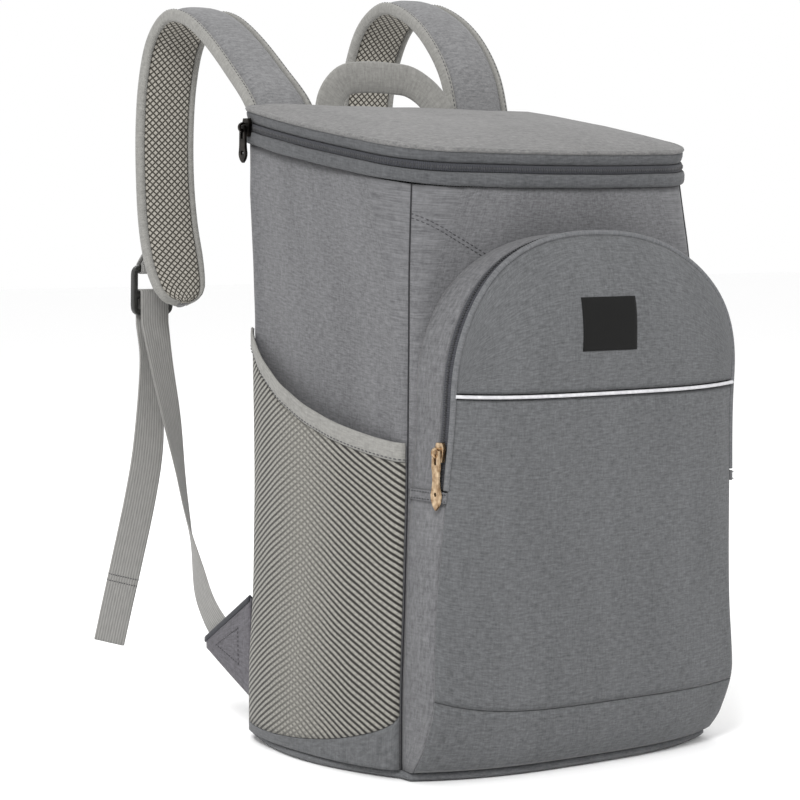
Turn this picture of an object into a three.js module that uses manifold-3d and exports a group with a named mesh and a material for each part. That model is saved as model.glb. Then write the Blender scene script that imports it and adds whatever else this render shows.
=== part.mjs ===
// A grey cooler backpack with an arched front pocket, standing on its base.
// Millimetres, +Z up. The front looks along -Y, and +X is on the right when the front is looked at.
// The origin is in the middle of the main box, on the flat face that it stands on.
import * as THREE from "three";
import { mergeVertices } from "three/addons/utils/BufferGeometryUtils.js";
import Module from "manifold-3d";

const wasm = await Module();
wasm.setup();

// Main box
const BASE_WIDTH = 266;
const BODY_DEPTH = 200;
const BACK_HEIGHT = 428;
const FRONT_HEIGHT = 396;
const WALL = 6;
const BASE_THICKNESS = 6;
const BACK_CORNER_RADIUS = 16;
const FRONT_CORNER_RADIUS = 26;
const FRONT_BOW = 7;
const SIDE_BOW = 3;

// Seams: the room that sewn pieces keep between them
const SEAM_GAP = 0.35;

// Lid, from the rim that it closes on up to its top
const RIM_HEIGHT = 9;
const LID_ZIP_HEIGHT = 5;
const LID_PANEL_THICKNESS = 9;
const LID_CROWN = 6;
const LID_OVERHANG = 3;
const RIM_WALL = 3;
const LID_ROLL = 3.4;
const LID_CORNER_RADIUS = 48;

// Zip sliders and their pulls
const SLIDER_LENGTH = 13;
const SLIDER_WIDTH = 9;
const SLIDER_HEIGHT = 3;
const PULL_THICKNESS = 2;
const LID_PULL_LENGTH = 25;
const LID_PULL_WIDTH = 9;
const POCKET_PULL_LENGTH = 38;
const POCKET_PULL_WIDTH = 10;
const PULL_BAR = 2;
const PULL_BAR_ROOM = 0.4;
const PULL_SLOT_LENGTH = 8;
const LID_PULL_HOLE = 1.8;
const POCKET_PULL_HOLE = 1.5;
const POCKET_SLIDER_CLEARANCE = 19.5;

// Front pocket
const POCKET_HALF_WIDTH = 121;
const POCKET_SPRING_HEIGHT = 260;
const POCKET_RISE = 104;
const POCKET_ARCH_POWER = 2.3;
const POCKET_DEPTH = 45;
const POCKET_CROWN = 13;
const POCKET_WALL = 2.4;
const POCKET_ZIP_WIDTH = 9;
const POCKET_PIPING_WIDTH = 4;
const POCKET_PIPING_PROUD = 1.6;
const ZIP_END_HEIGHT = 196;
const ZIP_TAB_HEIGHT = 7;
const ZIP_TAB_THICKNESS = 1.6;
const POCKET_SLIDER_HEIGHT = ZIP_END_HEIGHT + POCKET_SLIDER_CLEARANCE + SLIDER_LENGTH / 2;
const REFLECTIVE_HEIGHT = 257;
const REFLECTIVE_LIFT = 2;
const REFLECTIVE_WIDTH = 3;
const REFLECTIVE_PROUD = 1.6;
const POCKET_BASE_SEAM_HEIGHT = 45;
const POCKET_BASE_SEAM_LIFT = 7;
const POCKET_BASE_SEAM_TILT = 6;
const PATCH_WIDTH = 48;
const PATCH_HEIGHT = 36;
const PATCH_THICKNESS = 1.2;
const PATCH_X = -4;
const PATCH_Z = 304;

// Net pockets on the sides
const NET_WALL = 1.6;
const NET_BULGE = 13;
const NET_BACK_HEIGHT = 296;
const NET_FRONT_HEIGHT = 226;
const NET_HEM_HEIGHT = 13;
const NET_HEM_PROUD = 0.8;
const NET_BASE_BACK_HEIGHT = 13;
const NET_BASE_FRONT_HEIGHT = 43;
const NET_FRONT_MARGIN = 1;
const NET_BACK_MARGIN = 6;

// Carry handle
const HANDLE_SPAN = 92;
const HANDLE_HEIGHT = 62;
const HANDLE_RISE = 29;
const HANDLE_WEB = 26;
const HANDLE_THICKNESS = 2.4;
const HANDLE_LEG_ROOT = 30;
const HANDLE_BACK_BOW = 9;

// Shoulder straps
const STRAP_SPACING = 178;
const STRAP_WIDTH = 54;
const STRAP_THICKNESS = 8;
const STRAP_NET_THICKNESS = 2.2;
const STRAP_BINDING_WIDTH = 5;
const STRAP_BINDING_PROUD = 0.8;

// Webbing and buckles
const WEBBING_WIDTH = 25;
const WEBBING_THICKNESS = 1.6;
const WEBBING_HEM_LENGTH = 62;
const BUCKLE_WIDTH = 36;
const BUCKLE_HEIGHT = 40;
const BUCKLE_THICKNESS = 5;
const BUCKLE_BAR = 5;

// Wings that hold the webbing at the base
const WING_HEIGHT = 76;
const WING_LENGTH = 62;
const WING_THICKNESS = 2.4;
const WING_TIP_HEIGHT = 60;
const WING_TIP_WIDTH = 9;
const WING_BELOW = 0.44;
const WING_BINDING_WIDTH = 5;

// The main box from the base up: the half width at the back and at the front, and the depth in front,
// as shares of the base's, with the front corner's radius as a share of its radius at the lid.
const BODY_SECTIONS = [
  { up: 0.0, back: 1.0, front: 1.0, depth: 0.95, corner: 0.4 },
  { up: 0.12, back: 0.995, front: 0.995, depth: 0.95, corner: 0.33 },
  { up: 0.3, back: 0.965, front: 0.98, depth: 0.96, corner: 0.33 },
  { up: 0.5, back: 0.96, front: 0.97, depth: 0.975, corner: 0.35 },
  { up: 0.7, back: 0.965, front: 0.97, depth: 0.985, corner: 0.45 },
  { up: 0.85, back: 0.98, front: 0.98, depth: 1.0, corner: 0.85 },
  { up: 0.94, back: 0.99, front: 0.985, depth: 1.01, corner: 1.35 },
  { up: 1.0, back: 0.995, front: 0.99, depth: 1.02, corner: 1.75 },
];

// The front pocket from the base up: its half width, how far its edge stands out of the box and how far
// its middle stands out of its edge, as shares of the pocket's half width, depth and crown.
const POCKET_SECTIONS = [
  { up: 0.0, wide: 1.08, edge: 0.06, crown: 2.1 },
  { up: 0.06, wide: 1.09, edge: 0.46, crown: 1.56 },
  { up: 0.16, wide: 1.085, edge: 0.74, crown: 0.9 },
  { up: 0.28, wide: 1.071, edge: 0.71, crown: 1.0 },
  { up: 0.52, wide: 1.029, edge: 0.81, crown: 1.0 },
  { up: 0.7, wide: 1.0, edge: 0.91, crown: 1.0 },
  { up: 0.86, wide: 1.0, edge: 1.0, crown: 0.95 },
  { up: 1.0, wide: 1.0, edge: 0.87, crown: 0.9 },
];

// Each shoulder strap's middle line from the back panel over the top to its tip: how far it stands out
// behind the back panel and how high it is, and its width as a share of the full width.
const STRAP_ROUTES = {
  left: [
    { out: 8.8, height: 380, wide: 1.0 },
    { out: 8.8, height: 404, wide: 1.0 },
    { out: 12.4, height: 428, wide: 1.0 },
    { out: 17, height: 452, wide: 1.0 },
    { out: 50, height: 481, wide: 0.95 },
    { out: 84, height: 506, wide: 0.92 },
    { out: 114, height: 521, wide: 0.9 },
    { out: 141, height: 523, wide: 0.9 },
    { out: 163, height: 506, wide: 0.9 },
    { out: 175, height: 476, wide: 0.9 },
    { out: 180, height: 440, wide: 0.9 },
    { out: 180, height: 402, wide: 0.9 },
    { out: 176, height: 368, wide: 0.92 },
    { out: 168, height: 340, wide: 0.92 },
    { out: 160, height: 320, wide: 0.8 },
    { out: 154, height: 307, wide: 0.58 },
  ],
  right: [
    { out: 8.8, height: 380, wide: 1.0 },
    { out: 8.8, height: 404, wide: 1.0 },
    { out: 12.4, height: 428, wide: 1.0 },
    { out: 15, height: 452, wide: 1.0 },
    { out: 26, height: 483, wide: 1.0 },
    { out: 50, height: 511, wide: 1.0 },
    { out: 80, height: 529, wide: 0.96 },
    { out: 110, height: 535, wide: 0.93 },
    { out: 138, height: 520, wide: 0.92 },
    { out: 157, height: 486, wide: 0.9 },
    { out: 165, height: 446, wide: 0.9 },
    { out: 166, height: 404, wide: 0.9 },
    { out: 163, height: 368, wide: 0.92 },
    { out: 156, height: 340, wide: 0.92 },
    { out: 149, height: 320, wide: 0.8 },
    { out: 144, height: 307, wide: 0.58 },
  ],
};

// How far behind the back panel each buckle hangs, and how high. Its webbing starts from there.
const BUCKLE_HANG = { left: 203, right: 192, height: 316 };

// The free end of the webbing, from the buckle down to its hem.
const FREE_WEBBING_ROUTE = [
  { out: 207, height: BUCKLE_HANG.height - 26, turn: 0 },
  { out: 207, height: BUCKLE_HANG.height - 52, turn: 20 },
  { out: 207, height: BUCKLE_HANG.height - 88, turn: 5 },
  { out: 212, height: BUCKLE_HANG.height - 128, turn: -15 },
  { out: 225, height: BUCKLE_HANG.height - 168, turn: -25 },
  { out: 247, height: 96, turn: -34 },
  { out: 262, height: 62, turn: -36 },
  { out: 277, height: 27, turn: -36 },
];

// The webbing from the buckle to the wing: its place behind the back panel, how far it has gone
// from the strap's line towards the wing's tip, and how far it is turned edge-on.
const WING_WEBBING_ROUTE = [
  { out: 199, height: BUCKLE_HANG.height - 26, along: 0, turn: 0 },
  { out: 190, height: BUCKLE_HANG.height - 56, along: 0, turn: -12 },
  { out: 172, height: BUCKLE_HANG.height - 96, along: 0.06, turn: -24 },
  { out: 150, height: BUCKLE_HANG.height - 138, along: 0.2, turn: -44 },
  { out: 123, height: 138, along: 0.42, turn: -58 },
  { out: 86, height: 102, along: 0.78, turn: -86 },
  { out: 62, height: 83, along: 0.95, turn: -89 },
  { out: 42, height: 70, along: 1.0, turn: -90 },
];

const BACK_Y = BODY_DEPTH / 2;
const STRAP_X = STRAP_SPACING / 2;
const LID_SLOPE = (BACK_HEIGHT - FRONT_HEIGHT) / BODY_DEPTH;

// Sums over tables

function share(table, key, up) {
  let i = 1;
  while (i < table.length - 1 && table[i].up < up) i += 1;
  const a = table[i - 1];
  const b = table[i];
  const t = THREE.MathUtils.clamp((up - a.up) / (b.up - a.up), 0, 1);
  return THREE.MathUtils.lerp(a[key], b[key], t);
}

function steps(count) {
  return Array.from({ length: count + 1 }, (_, i) => i / count);
}

// Closed solids

function closedGeometry(points, triangles) {
  let volume = 0;
  for (const [a, b, c] of triangles) {
    const [p, q, r] = [points[a], points[b], points[c]];
    volume +=
      p[0] * (q[1] * r[2] - q[2] * r[1]) +
      p[1] * (q[2] * r[0] - q[0] * r[2]) +
      p[2] * (q[0] * r[1] - q[1] * r[0]);
  }
  const index = triangles.flatMap(([a, b, c]) => (volume < 0 ? [a, c, b] : [a, b, c]));
  const geometry = new THREE.BufferGeometry();
  geometry.setAttribute("position", new THREE.Float32BufferAttribute(points.flat(), 3));
  geometry.setIndex(index);
  geometry.computeVertexNormals();
  return geometry;
}

// A wall between an outer and an inner grid of points, closed along all its edges.
// With wrap, each row is a ring.
function sheet(outer, inner, wrap = false) {
  const rows = outer.length;
  const columns = outer[0].length;
  const points = [...outer.flat(), ...inner.flat()];
  const at = (side, i, j) => side * rows * columns + i * columns + (j % columns);
  const triangles = [];
  const quad = (a, b, c, d) => triangles.push([a, b, c], [a, c, d]);
  const spans = wrap ? columns : columns - 1;
  for (let i = 0; i < rows - 1; i += 1) {
    for (let j = 0; j < spans; j += 1) {
      quad(at(0, i, j), at(0, i, j + 1), at(0, i + 1, j + 1), at(0, i + 1, j));
      quad(at(1, i, j), at(1, i + 1, j), at(1, i + 1, j + 1), at(1, i, j + 1));
    }
  }
  for (let j = 0; j < spans; j += 1) {
    quad(at(0, 0, j + 1), at(0, 0, j), at(1, 0, j), at(1, 0, j + 1));
    const last = rows - 1;
    quad(at(0, last, j), at(0, last, j + 1), at(1, last, j + 1), at(1, last, j));
  }
  if (!wrap) {
    for (let i = 0; i < rows - 1; i += 1) {
      const last = columns - 1;
      quad(at(0, i, 0), at(0, i + 1, 0), at(1, i + 1, 0), at(1, i, 0));
      quad(at(0, i + 1, last), at(0, i, last), at(1, i, last), at(1, i + 1, last));
    }
  }
  return closedGeometry(points, triangles);
}

// A solid through rings of points, with its two ends closed from their middles.
function loft(rings) {
  const count = rings[0].length;
  const points = rings.flat();
  const triangles = [];
  for (let i = 0; i < rings.length - 1; i += 1) {
    for (let j = 0; j < count; j += 1) {
      const k = (j + 1) % count;
      const a = i * count;
      const b = a + count;
      triangles.push([a + j, a + k, b + k], [a + j, b + k, b + j]);
    }
  }
  const middle = (ring) => [0, 1, 2].map((axis) => ring.reduce((s, p) => s + p[axis], 0) / count);
  const first = points.push(middle(rings[0])) - 1;
  const last = points.push(middle(rings.at(-1))) - 1;
  const top = (rings.length - 1) * count;
  for (let j = 0; j < count; j += 1) {
    const k = (j + 1) % count;
    triangles.push([first, k, j], [last, top + j, top + k]);
  }
  return closedGeometry(points, triangles);
}

// Materials

const cloth = (color) => ({ color, roughness: 0.9, metalness: 0 });
const MATERIALS = {
  body: cloth("#828284"),
  pocket: cloth("#6f7072"),
  lid: cloth("#9a9996"),
  webbing: cloth("#a3a19d"),
  net: cloth("#8f8c84"),
  tape: cloth("#4a4b4e"),
  patch: cloth("#1f1f1e"),
  reflective: { color: "#dcdcde", roughness: 0.5, metalness: 0 },
  brass: { color: "#a58c6c", roughness: 0.35, metalness: 1 },
  black_metal: { color: "#2e2c28", roughness: 0.4, metalness: 1 },
  plastic: { color: "#232320", roughness: 0.5, metalness: 0 },
  wing: cloth("#6f6c70"),
};

const backpack = new THREE.Group();
backpack.name = "cooler_backpack";

function add(name, geometry, finish, parent = backpack) {
  const mesh = new THREE.Mesh(geometry, new THREE.MeshStandardMaterial(MATERIALS[finish]));
  mesh.name = name;
  parent.add(mesh);
  return mesh;
}

const SIDES = [
  { name: "left", sign: -1 },
  { name: "right", sign: 1 },
];

// The main box's outline at a height, as a share of the wall's height

function bodySection(up) {
  const half = BASE_WIDTH / 2;
  return {
    back: half * share(BODY_SECTIONS, "back", up),
    front: half * share(BODY_SECTIONS, "front", up),
    frontY: -BACK_Y * share(BODY_SECTIONS, "depth", up),
    frontRadius: FRONT_CORNER_RADIUS * share(BODY_SECTIONS, "corner", up),
    backRadius: BACK_CORNER_RADIUS,
    sideBow: SIDE_BOW,
    frontBow: FRONT_BOW,
  };
}

// Half a corner's arc, from one angle to another, in degrees
function arc(x, y, radius, from, to, count) {
  return steps(count).map((t) => {
    const angle = THREE.MathUtils.degToRad(from + (to - from) * t);
    return [x + radius * Math.cos(angle), y + radius * Math.sin(angle)];
  });
}

function bowed(from, to, bow, count) {
  const [dx, dy] = [to[0] - from[0], to[1] - from[1]];
  const long = Math.hypot(dx, dy);
  return steps(count).slice(1, -1).map((t) => {
    const out = bow * 4 * t * (1 - t);
    return [from[0] + dx * t + (out * dy) / long, from[1] + dy * t - (out * dx) / long];
  });
}

const ARC_STEPS = 3;
const SIDE_STEPS = 6;

// One wall's outline, from seam to seam and anticlockwise from above, moved in by an inset.
function wallOutline(wall, section, inset) {
  const frontRadius = Math.max(section.frontRadius - inset, 1);
  const backRadius = Math.max(section.backRadius - inset, 1);
  const frontX = section.front - inset - frontRadius;
  const backX = section.back - inset - backRadius;
  const frontY = section.frontY + inset + frontRadius;
  const backY = BACK_Y - inset - backRadius;
  const parts = {
    front: [
      arc(-frontX, frontY, frontRadius, 225, 270, ARC_STEPS),
      arc(frontX, frontY, frontRadius, 270, 315, ARC_STEPS),
      section.frontBow,
    ],
    right: [
      arc(frontX, frontY, frontRadius, 315, 360, ARC_STEPS),
      arc(backX, backY, backRadius, 0, 45, ARC_STEPS),
      section.sideBow,
    ],
    back: [
      arc(backX, backY, backRadius, 45, 90, ARC_STEPS),
      arc(-backX, backY, backRadius, 90, 135, ARC_STEPS),
      0,
    ],
    left: [
      arc(-backX, backY, backRadius, 135, 180, ARC_STEPS),
      arc(-frontX, frontY, frontRadius, 180, 225, ARC_STEPS),
      section.sideBow,
    ],
  };
  const [first, second, bow] = parts[wall];
  return [...first, ...bowed(first.at(-1), second[0], bow, SIDE_STEPS), ...second];
}

function ringOutline(section, inset) {
  return ["front", "right", "back", "left"].flatMap((wall) => wallOutline(wall, section, inset).slice(0, -1));
}

// The sloping plane that the walls end at, under the lid
function rimPlane(y) {
  return FRONT_HEIGHT + (y + BACK_Y) * LID_SLOPE;
}

const WALL_FOOT = BASE_THICKNESS + SEAM_GAP;

function wallHeight(y, up) {
  return WALL_FOOT + (rimPlane(y) - SEAM_GAP - WALL_FOOT) * up;
}

function upAt(y, z) {
  return (z - WALL_FOOT) / (rimPlane(y) - SEAM_GAP - WALL_FOOT);
}

// Takes a seam's room off both ends of an outline
function trimmed(outline, room) {
  const pull = (end, next) => {
    const long = Math.hypot(next[0] - end[0], next[1] - end[1]);
    return [end[0] + ((next[0] - end[0]) * room) / long, end[1] + ((next[1] - end[1]) * room) / long];
  };
  const last = outline.length - 1;
  return outline.map((p, i) => {
    if (i === 0) return pull(p, outline[1]);
    if (i === last) return pull(p, outline[last - 1]);
    return p;
  });
}

function wall(side) {
  const grid = (inset) =>
    BODY_SECTIONS.map(({ up }) =>
      trimmed(wallOutline(side, bodySection(up), inset), SEAM_GAP / 2).map(([x, y]) => [x, y, wallHeight(y, up)]),
    );
  return sheet(grid(0), grid(WALL));
}

// The front of the box at a height, where the pocket is sewn on
function bodyFront(x, z) {
  const up = upAt(-BACK_Y, z);
  const section = bodySection(up);
  const flat = section.front - section.frontRadius;
  const q = THREE.MathUtils.clamp(x / flat, -1, 1);
  const past = Math.max(Math.abs(x) - flat, 0);
  const drop = section.frontRadius - Math.sqrt(Math.max(section.frontRadius ** 2 - past ** 2, 0));
  return section.frontY - FRONT_BOW * (1 - q * q) + drop;
}

// The front pocket's outline and surface

const POCKET_TOP = POCKET_SPRING_HEIGHT + POCKET_RISE;

function pocketHalfWidth(z) {
  return POCKET_HALF_WIDTH * share(POCKET_SECTIONS, "wide", z / POCKET_TOP);
}

function archHeight(q, inset = 0) {
  const flat = Math.max(1 - Math.abs(q) ** POCKET_ARCH_POWER, 0) ** (1 / POCKET_ARCH_POWER);
  return POCKET_SPRING_HEIGHT + (POCKET_RISE - inset) * flat;
}

// How near a point of the pocket's face is to its edge: 0 in the middle and 1 on the edge
function edgeNearness(x, z) {
  const across = Math.abs(x) / pocketHalfWidth(z);
  if (z <= POCKET_SPRING_HEIGHT) return Math.min(across, 1);
  const rise = (z - POCKET_SPRING_HEIGHT) / POCKET_RISE;
  const power = POCKET_ARCH_POWER;
  return Math.min((across ** power + rise ** power) ** (1 / power), 1);
}

function pocketEdgeY(z) {
  return -BACK_Y - POCKET_DEPTH * share(POCKET_SECTIONS, "edge", z / POCKET_TOP);
}

const CROWN_POWER = 3;

function pocketFace(x, z) {
  const crown = POCKET_CROWN * share(POCKET_SECTIONS, "crown", z / POCKET_TOP);
  return pocketEdgeY(z) - crown * (1 - edgeNearness(x, z) ** CROWN_POWER);
}

// Places across the pocket, closer together towards its edges
const ACROSS = steps(18).map((t) => Math.sin((t - 0.5) * Math.PI));

// The pocket's edge from the right foot over the arch to the left foot, moved in by an inset
const SIDE_HEIGHTS = POCKET_SECTIONS.map(({ up }) => up * POCKET_TOP);

function pocketEdge(inset, foot) {
  const rising = SIDE_HEIGHTS.filter((z) => z > foot + 1 && z < POCKET_SPRING_HEIGHT - 1);
  const right = [foot, ...rising].map((z) => [pocketHalfWidth(z) - inset, z]);
  const arch = [...ACROSS].reverse().map((q) => [q * (POCKET_HALF_WIDTH - inset), archHeight(q, inset)]);
  const left = [...right].reverse().map(([x, z]) => [-x, z]);
  return [...right, ...arch, ...left];
}

// Rows of points across the pocket's face, each row at its own height, moved back by a depth
function pocketGrid(rowHeights, depth) {
  return rowHeights.map((heightOf) =>
    ACROSS.map((q) => {
      const z = heightOf(q);
      const x = q * pocketHalfWidth(z);
      return [x, pocketFace(x, z) + depth, z];
    }),
  );
}

function pocketSheet(rowHeights) {
  return sheet(pocketGrid(rowHeights, 0), pocketGrid(rowHeights, POCKET_WALL));
}

function baseSeam(q) {
  return POCKET_BASE_SEAM_HEIGHT + POCKET_BASE_SEAM_LIFT * q ** 4 - POCKET_BASE_SEAM_TILT * q ** 3;
}

function between(low, high, count) {
  return steps(count).map((t) => (q) => THREE.MathUtils.lerp(low(q), high(q), t));
}

// The reflective line between the upper and the lower panel rises a little at its two ends.
function reflectiveLine(offset) {
  return (q) => REFLECTIVE_HEIGHT + REFLECTIVE_LIFT * q ** 4 + offset;
}

function pocketPanels() {
  const foot = () => WALL_FOOT;
  const [, belly, ...rising] = SIDE_HEIGHTS.slice(0, 5).map((z) => () => z);
  const seamLow = (q) => baseSeam(q) - SEAM_GAP / 2;
  const seamHigh = (q) => baseSeam(q) + SEAM_GAP / 2;
  const lineLow = reflectiveLine(-REFLECTIVE_WIDTH / 2 - SEAM_GAP);
  const lineHigh = reflectiveLine(REFLECTIVE_WIDTH / 2 + SEAM_GAP);
  const top = (q) => Math.max(archHeight(q), lineHigh(q) + 1);
  add("pocket_base_panel", pocketSheet([foot, ...between(belly, seamLow, 2)]), "pocket");
  add("pocket_lower_panel", pocketSheet([seamHigh, ...rising, lineLow]), "pocket");
  add("pocket_upper_panel", pocketSheet(between(lineHigh, top, 5)), "pocket");
}

function reflectivePiping() {
  const rows = [reflectiveLine(-REFLECTIVE_WIDTH / 2), reflectiveLine(REFLECTIVE_WIDTH / 2)];
  return sheet(pocketGrid(rows, -REFLECTIVE_PROUD), pocketGrid(rows, POCKET_WALL));
}

function patch() {
  const [columns, rows] = [steps(4), steps(4)];
  const grid = (depth) =>
    rows.map((v) =>
      columns.map((u) => {
        const x = PATCH_X + (u - 0.5) * PATCH_WIDTH;
        const z = PATCH_Z + (v - 0.5) * PATCH_HEIGHT;
        return [x, pocketFace(x, z) - depth, z];
      }),
    );
  return sheet(grid(SEAM_GAP + PATCH_THICKNESS), grid(SEAM_GAP));
}

// The strip between the box and the pocket's face. The zip takes its front part above the zip's ends.
const GUSSET_FRONT = POCKET_WALL + SEAM_GAP;

function gussetEnd(z) {
  const band = POCKET_ZIP_WIDTH + SEAM_GAP;
  return pocketEdgeY(z) + GUSSET_FRONT + (z > ZIP_END_HEIGHT ? band : 0);
}

function edgeGrid(edge, backOf, frontOf, count) {
  return steps(count).map((t) =>
    edge.map(([x, z]) => [x, THREE.MathUtils.lerp(backOf(x, z), frontOf(x, z), t), z]),
  );
}

// Where the strip meets the box: no farther out than the seam in the box's front corner
function gussetBackX(x, z, inset) {
  const section = bodySection(upAt(-BACK_Y, z));
  const seam = section.front - section.frontRadius * (1 - Math.SQRT1_2) - 2 * SEAM_GAP;
  return Math.sign(x) * Math.min(Math.abs(x), seam - inset);
}

function pocketGusset() {
  const edge = (inset) => {
    const line = pocketEdge(inset, WALL_FOOT);
    const step = (sign) => [
      [sign * (pocketHalfWidth(ZIP_END_HEIGHT) - inset), ZIP_END_HEIGHT],
      [sign * (pocketHalfWidth(ZIP_END_HEIGHT) - inset), ZIP_END_HEIGHT + 1],
    ];
    const [rightStep, leftStep] = [step(1), step(-1).reverse()];
    const clear = line.filter(([, z]) => Math.abs(z - ZIP_END_HEIGHT) > 3);
    const turn = clear.findIndex(([, z]) => z > ZIP_END_HEIGHT);
    const back = clear.findLastIndex(([, z]) => z > ZIP_END_HEIGHT);
    return [...clear.slice(0, turn), ...rightStep, ...clear.slice(turn, back + 1), ...leftStep, ...clear.slice(back + 1)];
  };
  const rows = (inset) =>
    steps(2).map((t) =>
      edge(inset).map(([x, z]) => {
        const backX = gussetBackX(x, z, inset);
        const backY = bodyFront(backX, z) - 2 * SEAM_GAP;
        return [THREE.MathUtils.lerp(backX, x, t), THREE.MathUtils.lerp(backY, gussetEnd(z), t), z];
      }),
    );
  return sheet(rows(0), rows(POCKET_WALL));
}

const ZIP_FOOT = ZIP_END_HEIGHT + 1 + SEAM_GAP;

function pocketZip() {
  const frontOf = (x, z) => pocketEdgeY(z) + GUSSET_FRONT;
  const backOf = (x, z) => frontOf(x, z) + POCKET_ZIP_WIDTH;
  const rows = (inset) => edgeGrid(pocketEdge(inset, ZIP_FOOT), backOf, frontOf, 1);
  return sheet(rows(0.6), rows(POCKET_WALL));
}

// The light welt that stands out round the zip's front edge
function pocketPiping() {
  const frontOf = (x, z) => pocketEdgeY(z) + GUSSET_FRONT - POCKET_PIPING_WIDTH;
  const backOf = (x, z) => frontOf(x, z) + POCKET_PIPING_WIDTH + 1;
  const rows = (inset) => edgeGrid(pocketEdge(inset, ZIP_FOOT), backOf, frontOf, 1);
  return sheet(rows(-SEAM_GAP - POCKET_PIPING_PROUD), rows(-SEAM_GAP));
}

function zipTab(sign) {
  const rows = steps(3).map((t) => ZIP_END_HEIGHT - ZIP_TAB_HEIGHT * t);
  const grid = (out) =>
    rows.map((z) => {
      const x = sign * pocketHalfWidth(z);
      const backX = gussetBackX(x, z, 0);
      const backY = bodyFront(backX, z) - 2 * SEAM_GAP;
      return steps(2).map((t) => [
        THREE.MathUtils.lerp(backX, x, t) + sign * out,
        THREE.MathUtils.lerp(backY, pocketEdgeY(z), t),
        z,
      ]);
    });
  return sheet(grid(SEAM_GAP + ZIP_TAB_THICKNESS), grid(SEAM_GAP));
}

// The base: the box's outline, let out under the net pockets and under the front pocket
function basePanel() {
  const section = bodySection(0);
  section.sideBow = SIDE_BOW + NET_BULGE + NET_WALL;
  const front = ACROSS.map((q) => {
    const x = q * pocketHalfWidth(0);
    return [x, pocketFace(x, 0)];
  });
  const outline = [...front, ...["right", "back", "left"].flatMap((w) => wallOutline(w, section, 0).slice(1, -1))];
  return loft([0, BASE_THICKNESS].map((z) => outline.map(([x, y]) => [x, y, z])));
}

// The lid's outline, and layers of it above the plane that the walls end at
function lidSection() {
  const section = bodySection(1);
  section.frontRadius = LID_CORNER_RADIUS;
  return section;
}

function lidRing(inset, above) {
  return ringOutline(lidSection(), inset).map(([x, y]) => [x, y, rimPlane(y) + above]);
}

function lidBand(outset, thickness, low, high) {
  return sheet(
    [lidRing(-outset, low), lidRing(-outset, high)],
    [lidRing(thickness - outset, low), lidRing(thickness - outset, high)],
    true,
  );
}

const RIM_TOP = SEAM_GAP + RIM_HEIGHT;
const LID_ZIP_LOW = RIM_TOP + SEAM_GAP;
const LID_ZIP_TOP = LID_ZIP_LOW + LID_ZIP_HEIGHT;
const LID_LOW = LID_ZIP_TOP + SEAM_GAP;
const LID_TOP = LID_LOW + LID_PANEL_THICKNESS;

function lidPanel() {
  const profile = [
    { inset: 3.4, above: LID_LOW },
    { inset: 0, above: LID_LOW + LID_ROLL + SEAM_GAP },
    { inset: -1, above: LID_TOP - 3 },
    { inset: 1.4, above: LID_TOP },
    { inset: 12, above: LID_TOP + LID_CROWN * 0.35 },
    { inset: 40, above: LID_TOP + LID_CROWN * 0.85 },
    { inset: 70, above: LID_TOP + LID_CROWN },
  ];
  return loft(profile.map(({ inset, above }) => lidRing(inset - LID_OVERHANG + 1, above)));
}

// Net pockets, on the right side wall. Places run along the wall from its front seam to its back seam.
const NET_STEPS = 8;

// A place on the right wall's outline at a share of its length, let out from the wall.
function sidePlace(along, up, out) {
  const outline = wallOutline("right", bodySection(up), -out);
  const lengths = outline.slice(1).map(([x, y], i) => Math.hypot(x - outline[i][0], y - outline[i][1]));
  const whole = lengths.reduce((sum, long) => sum + long, 0);
  let left = THREE.MathUtils.lerp(NET_FRONT_MARGIN, whole - NET_BACK_MARGIN, along);
  let i = 0;
  while (i < lengths.length - 1 && left > lengths[i]) {
    left -= lengths[i];
    i += 1;
  }
  return [0, 1].map((axis) => THREE.MathUtils.lerp(outline[i][axis], outline[i + 1][axis], left / lengths[i]));
}

function netBulge(along, height) {
  const across = 1 - Math.abs(2 * along - 1) ** 2.4;
  const rise = THREE.MathUtils.lerp(1, 0.72, THREE.MathUtils.clamp(height, 0, 1));
  return 2 * SEAM_GAP + NET_BULGE * across * rise;
}

// The slanting mouth of the pocket sags between its two ends.
function mouthHeight(along) {
  const fall = Math.sin((1 - along) * Math.PI) * 0.16;
  const t = along ** 1.5 - fall * along;
  return THREE.MathUtils.lerp(NET_FRONT_HEIGHT, NET_BACK_HEIGHT, t);
}

function baseHeight(along) {
  const dip = Math.sin(along * Math.PI) * 6;
  return THREE.MathUtils.lerp(NET_BASE_FRONT_HEIGHT, NET_BASE_BACK_HEIGHT, Math.sqrt(along)) - dip;
}

function netSheet(sign, rowHeights, thickness) {
  const grid = (out) =>
    rowHeights.map((heightOf) =>
      steps(NET_STEPS).map((along) => {
        const z = heightOf(along);
        const bulge = netBulge(along, z / NET_BACK_HEIGHT) + out;
        const [x, y] = sidePlace(along, upAt(0, z), bulge);
        return [sign * x, y, z];
      }),
    );
  return sheet(grid(thickness), grid(0));
}

function netPocket({ name, sign }) {
  const foot = () => WALL_FOOT;
  const seam = (offset) => (along) => baseHeight(along) + offset;
  const hem = (along) => mouthHeight(along) - NET_HEM_HEIGHT;
  add(`mesh_base_${name}`, netSheet(sign, between(foot, seam(-SEAM_GAP / 2), 1), NET_WALL), "body");
  add(`mesh_pocket_${name}`, netSheet(sign, between(seam(SEAM_GAP / 2), (a) => hem(a) - SEAM_GAP, 5), NET_WALL), "net");
  add(`mesh_binding_${name}`, netSheet(sign, between(hem, mouthHeight, 1), NET_WALL + NET_HEM_PROUD), "webbing");
}

// Carry handle: a band that rises behind the lid, arches over and comes down again

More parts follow.
